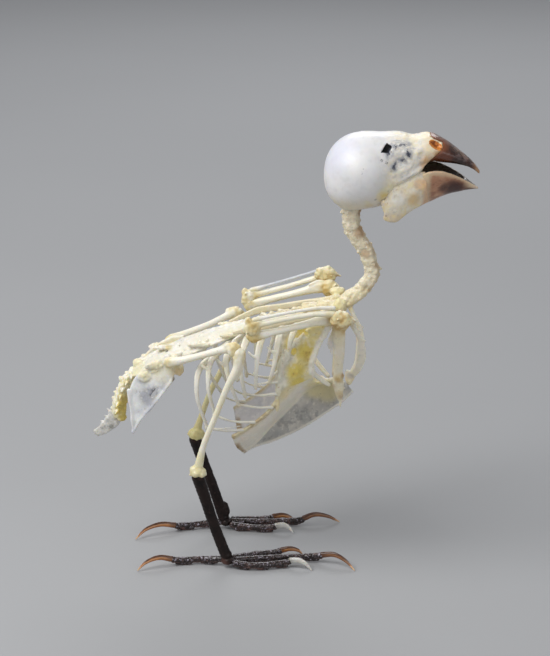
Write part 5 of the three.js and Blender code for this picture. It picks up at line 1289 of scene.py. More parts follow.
        def paint(V, N, s=s):
            C, R = bone_paint(V, N, base=col("e9e0c8"), yellow=0.30, underside_shade=0.2, ends=[(8.0, s * 4.7, 41.4, 2.0, 1.0)], end_colour=col("d6c27e"), dirt=0.3, seed=95 + s)
            return C, R

        finish(f"scapula_{side}", v, "bone", paint, [f"scapula_{side}"], soft=1, smooth=1, rough_up=[(0.04, 0.7, 3)])


# ---- wings
def build_wings():
    for s in (-1, 1):
        side, w = SIDE[s], WING[s]
        c = Clay(0.09)
        rod(c, w["humerus"], [(0.98, 0.75), (1.0, 0.66), (0.66, 0.58), 0.57, (0.60, 0.55), (0.85, 0.62)])
        h0, h1 = np.array(w["humerus"][0]), np.array(w["humerus"][-1])
        gristle(c, h0 + (0.2, 0, -0.15), (1.65, 1.05, 1.45), 120, 700 + s, r=(0.2, 0.42), wisps=3)
        rod(c, [h0 + (-0.2, 0, 0.5), h0 + (-1.8, 0, 0.95), h0 + (-3.2, 0, 0.45)], [0.4, (0.36, 0.26), 0.2])
        gristle(c, h1 + (-0.1, 0, 0.05), (1.1, 0.75, 1.1), 80, 705 + s, r=(0.18, 0.36))
        v = c.solid()

        def paint(V, N, s=s, h0=h0, h1=h1):
            C, R = bone_paint(V, N, base=col("f4f0e3"), yellow=0.14, underside_shade=0.65, ends=[(*h0, 2.4, 1.0), (*h1, 2.0, 1.0)], end_colour=col("d6ba68"), dirt=0.2, seed=100 + s)
            return C, R - 0.04

        finish(f"humerus_{side}", v, "bone", paint, [f"humerus_{side}"], soft=2, smooth=1,
               rough_up=[(0.12, 0.9, 2, lambda V, a=h0, b=h1: blob_mask(V, [(*a, 2.8, 1), (*b, 2.2, 1)])), (0.02, 0.8, 2)])

        c = Clay(0.09)
        rod(c, w["ulna"], [(0.62, 0.6), 0.47, 0.43, 0.46, (0.62, 0.55)])
        u0, u1 = np.array(w["ulna"][0]), np.array(w["ulna"][-1])
        gristle(c, u0 + (0.0, 0, -0.25), (1.4, 0.85, 1.4), 100, 710 + s, r=(0.2, 0.4), wisps=4)
        gristle(c, u0 + (0.9, 0.0, 0.5), (0.9, 0.55, 0.7), 40, 715 + s, r=(0.16, 0.34))
        gristle(c, u0 + (-0.6, 0.0, 0.8), (0.6, 0.5, 0.75), 44, 717 + s, r=(0.14, 0.28))
        v = c.solid()

        def paint(V, N, s=s, u0=u0, u1=u1):
            C, R = bone_paint(V, N, base=col("f2eee0"), yellow=0.16, underside_shade=0.6, ends=[(*(u0 + (0.2, 0, 0.2)), 2.4, 1.0), (*u1, 2.0, 0.8)],
                              end_colour=col("cfb263"), dirt=0.25, seed=110 + s)
            return C, R - 0.03

        finish(f"ulna_{side}", v, "bone", paint, [f"ulna_{side}"], soft=2, smooth=1,
               rough_up=[(0.12, 0.9, 2, lambda V, a=u0: blob_mask(V, [(*a, 2.6, 1)])), (0.02, 0.8, 2)])

        c = Clay(0.08)
        rod(c, w["radius"], [0.42, 0.28, 0.27, 0.28, 0.36])
        v = c.solid()

        def paint(V, N, s=s, w=w):
            C, R = bone_paint(V, N, base=col("e9e7df"), yellow=0.05, underside_shade=0.15, ends=[(*w["radius"][0], 1.3, 0.8)], dirt=0.15, seed=120 + s)
            if s > 0:
                n1 = fbm(V * (0.3, 1, 1), 0.6, 2, 125)
                C = mixc(C, col("aab3c4"), 0.75 * smoothstep(V[:, 0], -4.5, -2.5) * (1 - smoothstep(V[:, 0], 5.5, 7.2)) * (0.8 + 0.4 * n1))
            return C, R - 0.05

        finish(f"radius_{side}", v, "bone", paint, [f"radius_{side}"], soft=1, smooth=1, rough_up=[(0.02, 0.7, 2)])

        c = Clay(0.09)
        wc, wr = (np.array(a, float) for a in (w["wrist"], (2.0, 1.0, 1.65) if s < 0 else (1.85, 0.95, 1.6)))
        gristle(c, wc + (-0.1, 0, -0.35 if s < 0 else 0.1), wr * 0.95, 110, 720 + s, r=(0.25, 0.5), core=0.8, wisps=5)
        if s > 0:
            gristle(c, wc + (0.4, 0, -0.6), (0.9, 0.7, 0.9), 40, 727, r=(0.3, 0.5), core=0.8)
        hk = np.array(w["hook"], float)
        rod(c, hk, [0.5, 0.26, 0.14])
        v = c.solid()

        def paint(V, N, s=s, wc=wc, hk=hk):
            n2 = fbm(V, 0.6, 3, 127)
            C, R = bone_paint(V, N, base=col("e6dab0"), yellow=0.5, underside_shade=0.5, ends=[(*wc, 1.6, 0.6)], end_colour=col("c8a65c"), dirt=0.2, seed=130 + s)
            # pale hook tip is tissue colour; pale on upward faces is painted highlight, amber-brown on downward faces
            # is painted shade
            C = mixc(C, col("f0eddf"), 0.7 * blob_mask(V, [(*hk[2], 1.3, 1)]) + 0.35 * smoothstep(N[:, 2], 0.3, 0.9))
            C = mixc(C, col("b98f4b"), 0.7 * smoothstep(-N[:, 2] + 0.5 * n2, -0.1, 0.6))
            if s < 0:
                C = mixc(C, col("c5a05a"), 0.6 * smoothstep(n2 - 0.4 * N[:, 0], -0.35, 0.35))
            return C, R

        finish(f"wrist_{side}", v, "gristle", paint, [f"wrist_{side}"], soft=2, smooth=1, rough_up=[(0.16, 1.1, 2), (0.05, 0.4, 2)])


# ---- hip and tail
def build_pelvis():
    c = Clay(0.1)
    roof = [[-5.4, 2.3, 39.2, 0.7], [-8.5, 3.0, 38.4, 1.0], [-12, 2.8, 37.3, 1.5], [-14.5, 3.5, 36.45, 1.6],
            [-17, 4.4, 35.35, 1.6], [-20.4, 4.6, 33.6, 1.3], [-23.6, 2.4, 31.5, 0.6]]
    rows = [[[x, f * w, top - drop * f * f] for f in (-1, -0.5, 0, 0.5, 1)] for x, w, top, drop in roof]

    def keep(u, v, P):
        # small windows between the roof and the row of fused bones
        a = np.abs(v - 0.5) * 2
        ph = (u * 9.0) % 1.0
        return ~((a > 0.26) & (a < 0.40) & (ph > 0.42) & (ph < 0.66) & (u > 0.55) & (u < 0.82))

    sheet(c, rows, lambda u, v, P: 0.32 + 0.10 * fbm(P, 1.4, 2, 141) + 0.16 * (np.abs(v - 0.5) > 0.46) + 0.15 * (np.abs(v - 0.5) < 0.05), keep=keep)
    core = [[-7.75, 0, 37.5], [-12, 0, 36.6], [-17, 0, 34.5], [-21, 0, 32.2], [-23.4, 0, 30.6]]
    rod(c, core, [(1.0, 0.9), (1.1, 1.1), (1.1, 1.3), (1.0, 1.1), (0.75, 0.8)])
    P, U, _ = catmull(core, 0.1)
    rng = np.random.default_rng(140)
    for i in range(0, len(P), 13):
        for s in (-1, 1):
            w = np.interp(P[i][0], [-23, -18, -12, -8], [2.0, 4.0, 2.6, 2.6])
            rod(c, [P[i], P[i] + np.array((-0.2, s * 1.2, 0.1)), P[i] + np.array((-0.4, s * w * 0.85, -0.1))], [0.42, 0.26, 0.26])
    ridge = [[-5.4, 0, 39.3], [-8.5, 0, 38.5], [-12, 0, 37.4], [-14.5, 0, 36.55], [-17, 0, 35.45], [-20.4, 0, 33.75], [-23.4, 0, 31.7]]
    P, U, _ = catmull(ridge, 0.3)
    c.stamp(P + rng.normal(0, 0.03, P.shape), 0.34 + 0.06 * rng.random(len(P)))
    for s in (-1, 1):
        wall = [mirror([[-15.9, 4.2, 35.3], [-16.6, 4.75, 33.2], [-17.2, 4.95, 31.3]], s), mirror([[-17.4, 4.5, 35.0], [-17.6, 4.95, 32.6], [-17.9, 5.1, 30.3]], s),
                mirror([[-19.0, 4.5, 34.3], [-19.0, 5.0, 31.8], [-19.2, 5.1, 28.5]], s), mirror([[-21.2, 4.2, 32.9], [-21.0, 4.8, 29.7], [-20.9, 4.8, 26.2]], s),
                mirror([[-23.3, 3.9, 30.6], [-22.7, 4.4, 27.4], [-22.4, 4.5, 24.3]], s), mirror([[-24.1, 3.9, 28.2], [-23.9, 4.2, 25.2], [-23.6, 4.2, 22.2]], s)]

        def t(u, v, P):
            return 0.22 + 0.10 * fbm(P, 1.2, 2, 151) + 0.22 * smoothstep(v, 0.90, 1.0) + 0.22 * smoothstep(u, 0.92, 1.0) + 0.3 * (1 - smoothstep(v, 0.0, 0.3))

        def slot(u, v, P):
            # long narrow gap near the lower edge
            d = np.hypot((P[:, 0] + 20.1 - 0.62 * (P[:, 2] - 29.0)) / 1.0, 0)
            return ~((d < 0.22) & (P[:, 2] > 28.2) & (P[:, 2] < 30.0) & (v > 0.55))

        sheet(c, wall, t, keep=slot)
        rod(c, [w[2] for w in wall], [0.3, 0.27, 0.25, 0.24, 0.22, 0.24])
        rod(c, mirror([[-24.3, 3.9, 29.0], [-24.0, 4.2, 26.4], [-23.7, 4.3, 24.0], [-23.65, 4.2, 21.9]], s), [0.3, 0.22, 0.22, 0.16])
        # hip socket and what is dried on it
        gristle(c, mirror([-17.5, 4.85, 34.1], s), (1.5, 0.6, 1.15), 90, 800 + s, r=(0.18, 0.38))
        gristle(c, mirror([-16.3, 4.9, 33.0], s), (0.9, 0.55, 1.1), 50, 803 + s, r=(0.16, 0.34))
        gristle(c, mirror([-20.2, 4.7, 33.4], s), (1.7, 0.45, 0.8), 60, 806 + s, r=(0.16, 0.3), core=0.7)
        gristle(c, mirror([-21.6, 4.6, 31.4], s), (1.3, 0.4, 0.9), 44, 809 + s, r=(0.16, 0.28), core=0.7)
        if s < 0:
            gristle(c, (-13.4, -3.0, 36.2), (1.8, 0.5, 0.45), 40, 811, r=(0.16, 0.28), core=0.7)
        gristle(c, mirror([-9.0, 3.0, 37.8], s), (1.3, 0.5, 0.4), 30, 815 + s, r=(0.16, 0.28), core=0.7)
    gristle(c, (-18.3, -0.8, 35.15), (2.2, 1.0, 0.45), 40, 820, r=(0.16, 0.3), core=0.7)
    gristle(c, (-22.3, 0, 32.2), (1.6, 1.3, 0.9), 60, 821, r=(0.16, 0.34))
    v = c.solid()

    def paint(V, N):
        x, y, z = V.T
        n1, n2, n3 = fbm(V, 1.5, 3, 144), fbm(V, 0.55, 3, 148), fbm(V, 0.25, 2, 153)
        C = np.broadcast_to(col("e8e4d4"), V.shape).copy()
        C = mixc(C, col("cfd0d6"), 0.5 * smoothstep(n1, 0.0, 0.5))
        C = mixc(C, WHITE, 0.6 * smoothstep(n2, 0.0, 0.5))
        fan = smoothstep(-z - 0.9 * (x + 20), -31.6, -30.2)
        fan = np.clip((31.8 - 0.5 * (x + 20) - z) / 1.6, 0, 1) * smoothstep(np.abs(y), 3.4, 4.0)
        fc = np.broadcast_to(col("e2e3e2"), V.shape).copy()
        fc = mixc(fc, col("8c8b88"), 0.85 * blob_mask(V, [(-21.3, s * 4.7, 28.4, 2.0, 1) for s in (-1, 1)] + [(-20.4, s * 4.8, 29.0, 1.3, 0.9) for s in (-1, 1)])
                  * (0.85 + 0.5 * n2))
        fc = mixc(fc, col("62636b"), 0.85 * blob_mask(V, [(-20.2, s * 4.9, 29.3, 0.75, 1) for s in (-1, 1)] + [(-20.6, s * 4.9, 28.7, 0.6, 1) for s in (-1, 1)]))
        fc = mixc(fc, WHITE, 0.6 * smoothstep(n2 - 0.3 * n3, 0.1, 0.5))
        fc = mixc(fc, col("b6b9c6"), 0.5 * smoothstep(n1, 0.0, 0.5))
        C = mixc(C, fc, fan)
        sp = []
        for s in (-1, 1):
            sp += [(-17.2, s * 5, 33.6, 2.0, 1.0), (-15.9, s * 5, 32.6, 1.8, 1.0), (-19.8, s * 4.8, 33.2, 1.8, 0.75), (-21.6, s * 4.6, 31.6, 1.5, 0.8),
                   (-12.5, s * 3, 37.4, 1.8, 0.55), (-8.5, s * 3.2, 38.5, 2.2, 0.7), (-6.3, s * 2.2, 39.2, 1.6, 0.5)]
        m = blob_mask(V, sp)
        C = mixc(C, col("e5daa8"), m * (0.7 + 0.5 * n2))
        C = mixc(C, col("c69a55"), 0.7 * blob_mask(V, [(-16.3, s * 5, 32.3, 1.4, 1) for s in (-1, 1)]) * (0.7 + 0.6 * n2))
        C = mixc(C, col("d9c36a"), 0.7 * blob_mask(V, [(-18.8, 0, 35.3, 1.2, 1), (-18.0, -1.5, 35.4, 0.9, 1)]) * (0.8 + 0.5 * n2))
        C = mixc(C, YELLOW, 0.65 * smoothstep(-x + n1, 21.3, 22.8) * (1 - fan))
        C = mixc(C, BROWN, 0.35 * smoothstep(n3 + 0.3 * n1, 0.5, 0.85))
        C = mixc(C, col("4c4038"), 0.8 * blob_mask(V, [(-16.95, s * 5.0, 31.2, 0.7, 1) for s in (-1, 1)]))
        return C, 0.34 + 0.12 * n2

    finish("pelvis", v, "thin", paint, ["pelvis"], soft=1, smooth=1,
           rough_up=[(0.07, 1.1, 2), (0.03, 0.4, 2, lambda V: 1 - smoothstep(31.5 - V[:, 2], 0, 1.5))])

    # tail: five knobbly bones with small side and back spines
    c = Clay(0.09)
    path = [[-23.5, 0, 30.5], [-24.3, 0, 29.6], [-25.0, 0, 28.4], [-25.6, 0, 26.9], [-26.1, 0, 25.2], [-26.1, 0, 24.0]]
    P = vertebrae(c, path, -1, 9, 5, (1.12, 1.15), 12, spine=0.3, back=1)
    for i, f in enumerate(np.linspace(0.05, 0.95, 6)):
        p = P[int(f * (len(P) - 1))]
        reach = (0.85, 1.15, 0.7, 1.1, 0.9, 0.6)[i]
        for s in (-1, 1):
            rod(c, [p, p + np.array((-0.1, s * 1.1, 0.1)), p + np.array((-0.25 - 0.1 * i % 0.3, s * (1.5 + 0.3 * reach), -0.15))], [0.5, 0.34, 0.2])
            gristle(c, p + np.array((0.1, s * 0.6, -0.1)), (0.7, 0.6, 0.6), 24, 840 + 2 * i + s, r=(0.16, 0.32))
        rod(c, [p, p + np.array((-0.7, 0, 0.3)), p + np.array((-1.2, 0.1 * (i % 2), 0.45)) * reach], [0.5, 0.34, 0.2])
    gristle(c, (-25.7, 0, 25.6), (0.95, 1.0, 1.6), 90, 860, r=(0.2, 0.36))
    gristle(c, (-26.1, -0.2, 24.0), (1.15, 1.0, 1.3), 90, 861, r=(0.2, 0.38))
    gristle(c, (-25.7, 0, 23.1), (0.85, 0.9, 0.75), 60, 863, r=(0.18, 0.34))
    gristle(c, (-24.8, 0, 28.0), (0.7, 0.9, 1.4), 60, 862, r=(0.2, 0.36))
    v = c.solid()

    def paint(V, N):
        x, y, z = V.T
        n1, n2, n3 = fbm(V, 1.2, 3, 164), fbm(V, 0.45, 3, 168), fbm(V, 0.22, 2, 173)
        C = np.broadcast_to(col("e9dfb2"), V.shape).copy()
        # paler on upward and rear-facing surfaces as painted light; yellow on lower, forward-facing surfaces partly as
        # painted shade
        C = mixc(C, col("f2efe0"), smoothstep(n2 - 0.35 * N[:, 0] + 0.2 * N[:, 2], 0.0, 0.5))
        low = smoothstep(-z + 0.5 * n1, -28.2, -25.8)
        C = mixc(C, col("dcc45c"), 0.85 * low * smoothstep(0.5 * n2 + N[:, 0], -0.5, 0.3))
        C = mixc(C, col("bb9240"), 0.4 * smoothstep(n3 + 0.4 * n1, 0.35, 0.7))
        return C, 0.38 + 0.12 * n2

    finish("tail_vertebrae", v, "gristle", paint, ["tail_vertebrae"], soft=2, smooth=1, rough_up=[(0.14, 0.9, 2), (0.04, 0.35, 2)])

    c = Clay(0.09)
    sheet(c, [[[-27.5, 0, 24.0], [-26.8, 0, 23.2], [-26.2, 0, 22.5]], [[-27.9, 0, 23.0], [-27.2, 0, 22.3], [-26.7, 0, 21.8]],
              [[-28.7, 0, 22.0], [-28.2, 0, 21.4], [-27.7, 0, 21.0]], [[-29.1, 0, 21.4], [-28.7, 0, 21.0], [-28.3, 0, 20.6]], [[-30.1, 0, 20.7], [-29.9, 0, 20.4], [-29.6, 0, 20.1]]],
          lambda u, v, P: 0.7 + 0.30 * np.exp(-((v - 0.5) / 0.3) ** 2) * (1 - u) + 0.12 * fbm(P, 0.6, 2, 171) - 0.1 * u)
    gristle(c, (-26.9, 0, 23.0), (0.6, 0.5, 0.7), 50, 870, r=(0.18, 0.3))
    for a, b in (((-27.4, 0, 24.0), (-28.1, 0.1, 24.5)), ((-27.8, 0, 23.1), (-28.5, -0.1, 23.4)), ((-28.5, 0, 22.2), (-29.1, 0.1, 22.4))):
        strand(c, a, b, 0.14, 0, thick=0.26)
    v = c.solid()

    def paint(V, N):
        x, y, z = V.T
        n1, n2 = fbm(V, 1.0, 3, 174), fbm(V, 0.4, 3, 178)
        C = np.broadcast_to(col("cfcdc6"), V.shape).copy()
        C = mixc(C, col("e2e0da"), smoothstep(n2, 0.0, 0.5))
        C = mixc(C, col("77766f"), 0.6 * smoothstep(-n2 + 0.3 * n1, 0.15, 0.6))
        C = mixc(C, col("d4b864"), 0.85 * smoothstep(z - 0.3 * (x + 26) + 0.4 * n1, 22.4, 24.2) * smoothstep(x, -27.3, -26.2))
        return C, 0.25 + 0.12 * n2

    finish("tail_fan", v, "thin", paint, ["tail_fan"], soft=1, smooth=1, rough_up=[(0.07, 0.5, 3)])


# ---- legs
def build_legs():
    for s in (-1, 1):
        side, leg = SIDE[s], LEG[s]
        c = Clay(0.1)
        rod(c, leg["femur"], [(0.85, 0.65), 0.60, 0.54, (0.60, 0.58), (0.95, 0.8)])
        f0, f1 = np.array(leg["femur"][0]), np.array(leg["femur"][-1])
        gristle(c, f0, (0.95, 0.6, 0.85), 50, 900 + s, r=(0.18, 0.36))
        gristle(c, f1 + (0.0, 0, -0.2), (1.3, 0.9, 1.35), 100, 904 + s, r=(0.2, 0.38), wisps=3)
        gristle(c, f1 + (-0.9, s * -0.1, 0.25), (0.7, 0.5, 0.6), 30, 906 + s, r=(0.16, 0.3))
        v = c.solid()

        def paint(V, N, f0=f0, f1=f1, s=s):
            return bone_paint(V, N, base=col("f4f0e3"), yellow=0.12, underside_shade=0.45, ends=[(*f0, 1.9, 0.9), (*f1, 2.1, 1.0)], end_colour=col("d1b463"), dirt=0.2, seed=180 + s)

        finish(f"femur_{side}", v, "bone", paint, [f"femur_{side}"], soft=2, smooth=1,
               rough_up=[(0.12, 0.9, 2, lambda V, a=f0, b=f1: blob_mask(V, [(*a, 2.0, 1), (*b, 2.4, 1)])), (0.02, 0.8, 2)])

        c = Clay(0.1)
        rod(c, leg["tibia"], [(0.95, 0.8), 0.72, 0.53, 0.47, 0.48, (0.75, 0.65)])
        t0, t1 = np.array(leg["tibia"][0]), np.array(leg["tibia"][-1])
        gristle(c, t0 + (0.0, 0, -0.5), (1.1, 0.8, 1.5), 90, 910 + s, r=(0.18, 0.36))
        rod(c, [t0 + (0.1, 0, -0.6), t0 + (0.35, 0, -2.2), t0 + (-0.4, 0, -4.4)], [0.5, 0.35, 0.2])
        for e in (-1, 1):
            c.stamp(t1 + np.array((-0.25, e * 0.42, -0.35)), 0.72)
            c.stamp(t1 + np.array((0.55, e * 0.38, -0.55)), 0.55)
        gristle(c, t1 + (0.0, 0, -0.25), (1.4, 1.0, 1.15), 110, 914 + s, r=(0.2, 0.38), wisps=2)
        v = c.solid()

        def paint(V, N, t0=t0, t1=t1, s=s):
            C, R = bone_paint(V, N, base=col("efeada"), yellow=0.22, underside_shade=0.35, ends=[(*(t0 + (0, 0, -0.4)), 1.9, 1.0), (*(t1 + (0, 0, -0.3)), 1.7, 0.75)],
                              end_colour=col("ccb065"), dirt=0.2, seed=190 + s)
            n2 = fbm(V, 0.5, 3, 192)
            C = mixc(C, col("e3d99c"), 0.5 * blob_mask(V, [(*(t1 + (0, 0, 1.0)), 3.2, 1)]) * (0.8 + 0.5 * n2))
            if s > 0:
                C = mixc(C, col("e2d68c"), 0.6)
            return C, R

        finish(f"tibiotarsus_{side}", v, "bone", paint, [f"tibiotarsus_{side}"], soft=2, smooth=1,
               rough_up=[(0.12, 0.9, 2, lambda V, a=t0, b=t1: blob_mask(V, [(*a, 2.4, 1), (*b, 2.1, 1)])), (0.02, 0.9, 2)])

        # shank in dark scaly skin
        c = Clay(0.08)
        P, U, T = catmull(leg["tarsus"], 0.05)
        L = np.concatenate([[0], np.cumsum(np.linalg.norm(np.diff(P, axis=0), axis=1))])
        r = np.interp(U, [0, 0.5, 1, 2, 3], [1.0, 0.92, 0.86, 0.80, 0.84])
        c.stamp(P, r * 0.93)
        # front shields: each overlaps the next one down
        fwd = np.cross(T, (0, 1.0, 0))
        fwd *= np.sign(fwd[:, :1])
        ph = (L / 2.1) % 1.0
        c.stamp(P + fwd * 0.16, r * (0.86 + 0.05 * ph))
        c.stamp(P - fwd * 0.20, r * (0.80 + 0.03 * np.sin(L * 9)))
        b = np.array(leg["ball"])
        gristle(c, b + (0, 0, 0.05), (1.15, 1.2, 0.75), 60, 930 + s, r=(0.22, 0.4), core=0.85)
        gristle(c, P[-1] + (0.1, 0, 0.2), (0.95, 0.95, 0.8), 40, 934 + s, r=(0.2, 0.36), core=0.85)
        if s > 0:
            gristle(c, P[-1] + (0.0, 0, 1.2), (1.2, 1.0, 1.5), 60, 936, r=(0.2, 0.36), core=0.7)
        # torn upper rim of the skin
        top = P[0]
        rng = np.random.default_rng(936)
        for a in np.linspace(0, 2 * math.pi, 18)[:-1]:
            q = top + np.array((0.82 * math.cos(a), 0.72 * math.sin(a), -0.1 + 0.25 * rng.random()))
            c.stamp(q, 0.2)
        v = c.solid()
        v.cut(lambda X, Y, Z: Z - 0.004)

        def paint(V, N, s=s, b=b, P=P):
            x, y, z = V.T
            n1, n2, n3 = fbm(V, 1.2, 3, 204), fbm(V, 0.4, 3, 208), fbm(V, 0.2, 2, 213)
            C = np.broadcast_to(SKIN, V.shape).copy()
            C = mixc(C, col("120c0a"), smoothstep(n1, -0.2, 0.5))
            C = mixc(C, col("3a2a28"), 0.6 * smoothstep(n2, 0.2, 0.6))
            C = mixc(C, PAD, 0.7 * blob_mask(V, [(*(b + (-0.6, 0.3 * s, -0.5)), 1.5, 1)]) * (0.8 + 0.5 * n2))
            C = mixc(C, col("6f6467"), 0.5 * blob_mask(V, [(*(b + (0.9, 0, 0.3)), 1.3, 1)]) * smoothstep(n2, -0.1, 0.5))
            C = mixc(C, col("4d3027"), 0.8 * smoothstep(z, 15.5, 16.6) * smoothstep(n2, -0.3, 0.5))
            R = 0.40 + 0.12 * n2 - 0.05 * smoothstep(n3, 0.2, 0.6)
            return C, R

        finish(f"tarsus_{side}", v, "shank", paint, [f"tarsus_{side}"], soft=1, smooth=1, rough_up=[(0.03, 0.5, 3), (0.02, 0.2, 2)])

        for toe, (p, cl) in leg["toes"].items():
            c = Clay(0.07)
            P, U, T = catmull(p, 0.04)
            L = np.concatenate([[0], np.cumsum(np.linalg.norm(np.diff(P, axis=0), axis=1))])
            R0 = 0.54 if toe != "toe_3" else 0.57
            r = R0 * np.interp(L / L[-1], [0, 0.25, 0.6, 0.9, 1], [1.02, 1.0, 0.98, 0.92, 0.86])
            up = np.array((0, 0, 1.0))
            saw = (L / 0.62 + 0.8 * noise(np.column_stack([L, L * 0, L * 0]), 1.7, 962 + s)) % 1.0
            c.stamp(P, r * 0.86)
            wob = 1 + 0.6 * noise(np.column_stack([L, L * 0, L * 0]), 1.3, 961 + s)
            c.stamp(P + up * 0.10, r * (0.85 + 0.10 * wob * (1 - saw) ** 1.5))
            # pads under each toe bone, with pinched joints between
            nj = {"hallux": 2, "toe_2": 2, "toe_3": 4, "toe_4": 3}[toe]
            for k in range(nj):
                q = P[int((k + 0.55) / nj * (len(P) - 1))]
                gristle(c, (q[0], q[1], max(0.30, q[2] - 0.42)), (L[-1] / nj * 0.40, R0 * 0.80, 0.36), 22, 950 + k + 5 * s, r=(0.18, 0.3), core=0.9)
            for k in range(1, nj + 1):
                q = P[min(len(P) - 1, int(k / nj * (len(P) - 1)))]
                c.stamp(q + up * 0.06, r[-1] * 1.08)
            # collar that holds the claw
            c.stamp(P[-1], r[-1] * 1.1)
            v = c.solid()
            v.cut(lambda X, Y, Z: Z - 0.004)

            def paint(V, N, s=s, toe=toe):
                x, y, z = V.T
                n1, n2, n3 = fbm(V, 1.1, 3, 224 + s), fbm(V, 0.35, 3, 228), fbm(V, 0.18, 2, 233)
                C = np.broadcast_to(SKIN, V.shape).copy()
                C = mixc(C, SCALE, 0.7 * smoothstep(n2 + 0.4 * N[:, 2], 0.1, 0.7))
                C = mixc(C, col("3b2824"), 0.6 * smoothstep(n1, -0.1, 0.5))
                C = mixc(C, PAD, 0.75 * smoothstep(-N[:, 2] + 0.5 * n1, 0.2, 0.8))
                # lilac-white flecks on the upper faces: partly pale scale edges, partly painted glints
                C = mixc(C, col("bdb5c4"), 0.75 * smoothstep(n3 + 0.4 * n2, 0.30, 0.60) * smoothstep(N[:, 2], -0.4, 0.2))
                C = mixc(C, col("9c7f7a"), 0.5 * smoothstep(-n3 + 0.4 * n1, 0.35, 0.65))
                return C, 0.26 + 0.12 * n2

            finish(f"{toe}_{side}", v, "skin", paint, [f"{toe}_{side}"], soft=1, smooth=1, rough_up=[(0.06, 0.34, 3)])

            silver = (toe == "toe_4" and s < 0) or (toe == "toe_2" and s > 0)
            c = Clay(0.06)
            q = np.array(cl, float)
            rod(c, q, [(0.50, 0.36), (0.43, 0.31), (0.28, 0.22), (0.09, 0.09)], step=0.05)
            # ridge along the back of the claw
            rod(c, q + (0, 0, 0.16), [(0.36, 0.2), (0.30, 0.17), (0.20, 0.13), 0.06], step=0.05)
            v = c.solid()
            v.cut(lambda X, Y, Z: Z - 0.004)

            def paint(V, N, silver=silver, q=q, toe=toe):
                x, y, z = V.T
                n1, n2 = fbm(V * (0.4, 1, 1), 0.7, 3, 244), fbm(V * (0.3, 1, 1), 0.25, 3, 248)
                P, U, T = catmull(q, 0.15)
                d = ((V[:, None, :] - P[None]) ** 2).sum(-1)
                u = U[d.argmin(1)] / 3.0
                dz = z - P[d.argmin(1), 2]
                if silver:
                    C = np.broadcast_to(SILVER, V.shape).copy()
                    C = mixc(C, col("e6e3dc"), smoothstep(n1, -0.1, 0.5))
                    C = mixc(C, col("77706a"), 0.5 * (1 - smoothstep(u, 0.0, 0.25)))
                    C = mixc(C, col("a59d92"), 0.6 * smoothstep(n2, 0.1, 0.6))
                else:
                    C = np.broadcast_to(CLAW, V.shape).copy()
                    C = mixc(C, col("c98347"), smoothstep(n1, -0.2, 0.5))
                    C = mixc(C, col("3a241b"), 0.9 * smoothstep(dz + 0.05 * n2, 0.12, 0.26) * (1 - smoothstep(u, 0.72, 0.92)))
                    C = mixc(C, col("e0b184"), 0.8 * smoothstep(-np.abs(dz - 0.06), -0.08, -0.02))
                    C = mixc(C, col("54321f"), 0.7 * (1 - smoothstep(u, 0.02, 0.22)))
                    C = mixc(C, col("7b3f1d"), 0.6 * smoothstep(-dz, 0.18, 0.34))
                    if toe == "toe_3":
                        C = mixc(C, col("4f3122"), 0.6 * (1 - smoothstep(u, 0.75, 1.0)))
                    C = mixc(C, CLAW_TIP, smoothstep(u, 0.82, 1.0))
                return C, 0.22 + 0.06 * n2

            finish(f"{toe}_claw_{side}", v, "claw", paint, [f"{toe}_claw_{side}"], soft=1, smooth=1, rough_up=[(0.012, 0.4, 2)])


# ---------------------------------------------------------------- build
import time
START = time.time()
for step in (build_skull, build_upper_bill, build_mandible, build_lower_bill, build_neck, lambda: rib_half(-1), lambda: rib_half(1),
             build_sternum, build_shoulder, build_wings, build_pelvis, build_legs):
    step()
    print("built", round(time.time() - START, 1), sum(COUNT.values()))


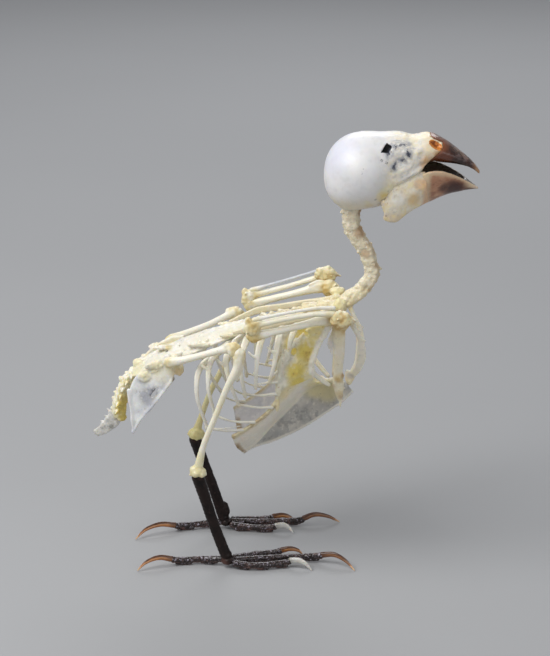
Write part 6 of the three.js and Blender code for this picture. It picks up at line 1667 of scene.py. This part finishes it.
# ---------------------------------------------------------------- stage
def floor_material():
    m = bpy.data.materials.new("mat_floor")
    m.use_nodes = True
    t = m.node_tree
    bs = t.nodes["Principled BSDF"]
    n = node(t, "ShaderNodeTexNoise", -500, 0)
    n.inputs["Scale"].default_value = 60.0
    r = node(t, "ShaderNodeMapRange", -300, 0)
    r.inputs["To Min"].default_value = 0.97
    r.inputs["To Max"].default_value = 1.03
    t.links.new(n.outputs["Fac"], r.inputs["Value"])
    v = node(t, "ShaderNodeVectorMath", -100, 0, operation="SCALE")
    v.inputs[0].default_value = (0.36, 0.365, 0.375)
    t.links.new(r.outputs["Result"], v.inputs["Scale"])
    t.links.new(v.outputs[0], bs.inputs["Base Color"])
    bs.inputs["Roughness"].default_value = 0.85
    return m


bpy.ops.mesh.primitive_plane_add(size=6.0, location=(0, 0.0, -0.00002))
floor = bpy.context.object
floor.name = "floor"
floor.data.materials.append(floor_material())

# camera: long lens a third of a metre away, looking down 18 degrees
DOWN, DIST = math.radians(18.0), 0.350
target = (np.array((-1.2, 0.0, 38.05)) + SHIFT) * MM
cam_data = bpy.data.cameras.new("camera")
cam = bpy.data.objects.new("camera", cam_data)
bpy.context.scene.collection.objects.link(cam)
cam.location = (target[0], target[1] - DIST * math.cos(DOWN), target[2] + DIST * math.sin(DOWN))
cam.rotation_euler = (math.radians(90) - DOWN, 0, 0)
cam_data.sensor_fit = "VERTICAL"
cam_data.sensor_height = 36.0
cam_data.lens = 2215.0 * 36.0 / 656.0
cam_data.clip_start = 0.01
cam_data.clip_end = 20
bpy.context.scene.camera = cam


def area(name, loc, aim, size, power, colour=(1, 1, 1)):
    d = bpy.data.lights.new(name, "AREA")
    d.shape = "RECTANGLE"
    d.size, d.size_y = size
    d.energy = power
    d.color = colour
    o = bpy.data.objects.new(name, d)
    bpy.context.scene.collection.objects.link(o)
    o.location = loc
    v = np.array(aim, float) - np.array(loc, float)
    from mathutils import Vector
    o.rotation_euler = Vector(v).to_track_quat("-Z", "Y").to_euler()
    return o


area("key", (-0.22, -0.12, 0.34), (0, 0, 0.04), (0.30, 0.30), 1.50, (1.0, 0.995, 0.985))
area("fill", (0.35, -0.40, 0.20), (0, 0, 0.03), (0.40, 0.40), 0.55, (0.98, 0.985, 1.0))
area("back", (0.05, 0.45, 0.35), (0, 0, 0.04), (0.35, 0.25), 0.9, (0.98, 0.985, 1.0))
world = bpy.data.worlds.new("world")
bpy.context.scene.world = world
world.use_nodes = True
bg = world.node_tree.nodes["Background"]
bg.inputs["Color"].default_value = (0.95, 0.965, 1.0, 1)
bg.inputs["Strength"].default_value = 0.30
bpy.context.scene.view_settings.view_transform = "Standard"
bpy.context.scene.view_settings.look = "None"
bpy.context.scene.view_settings.exposure = 0.0
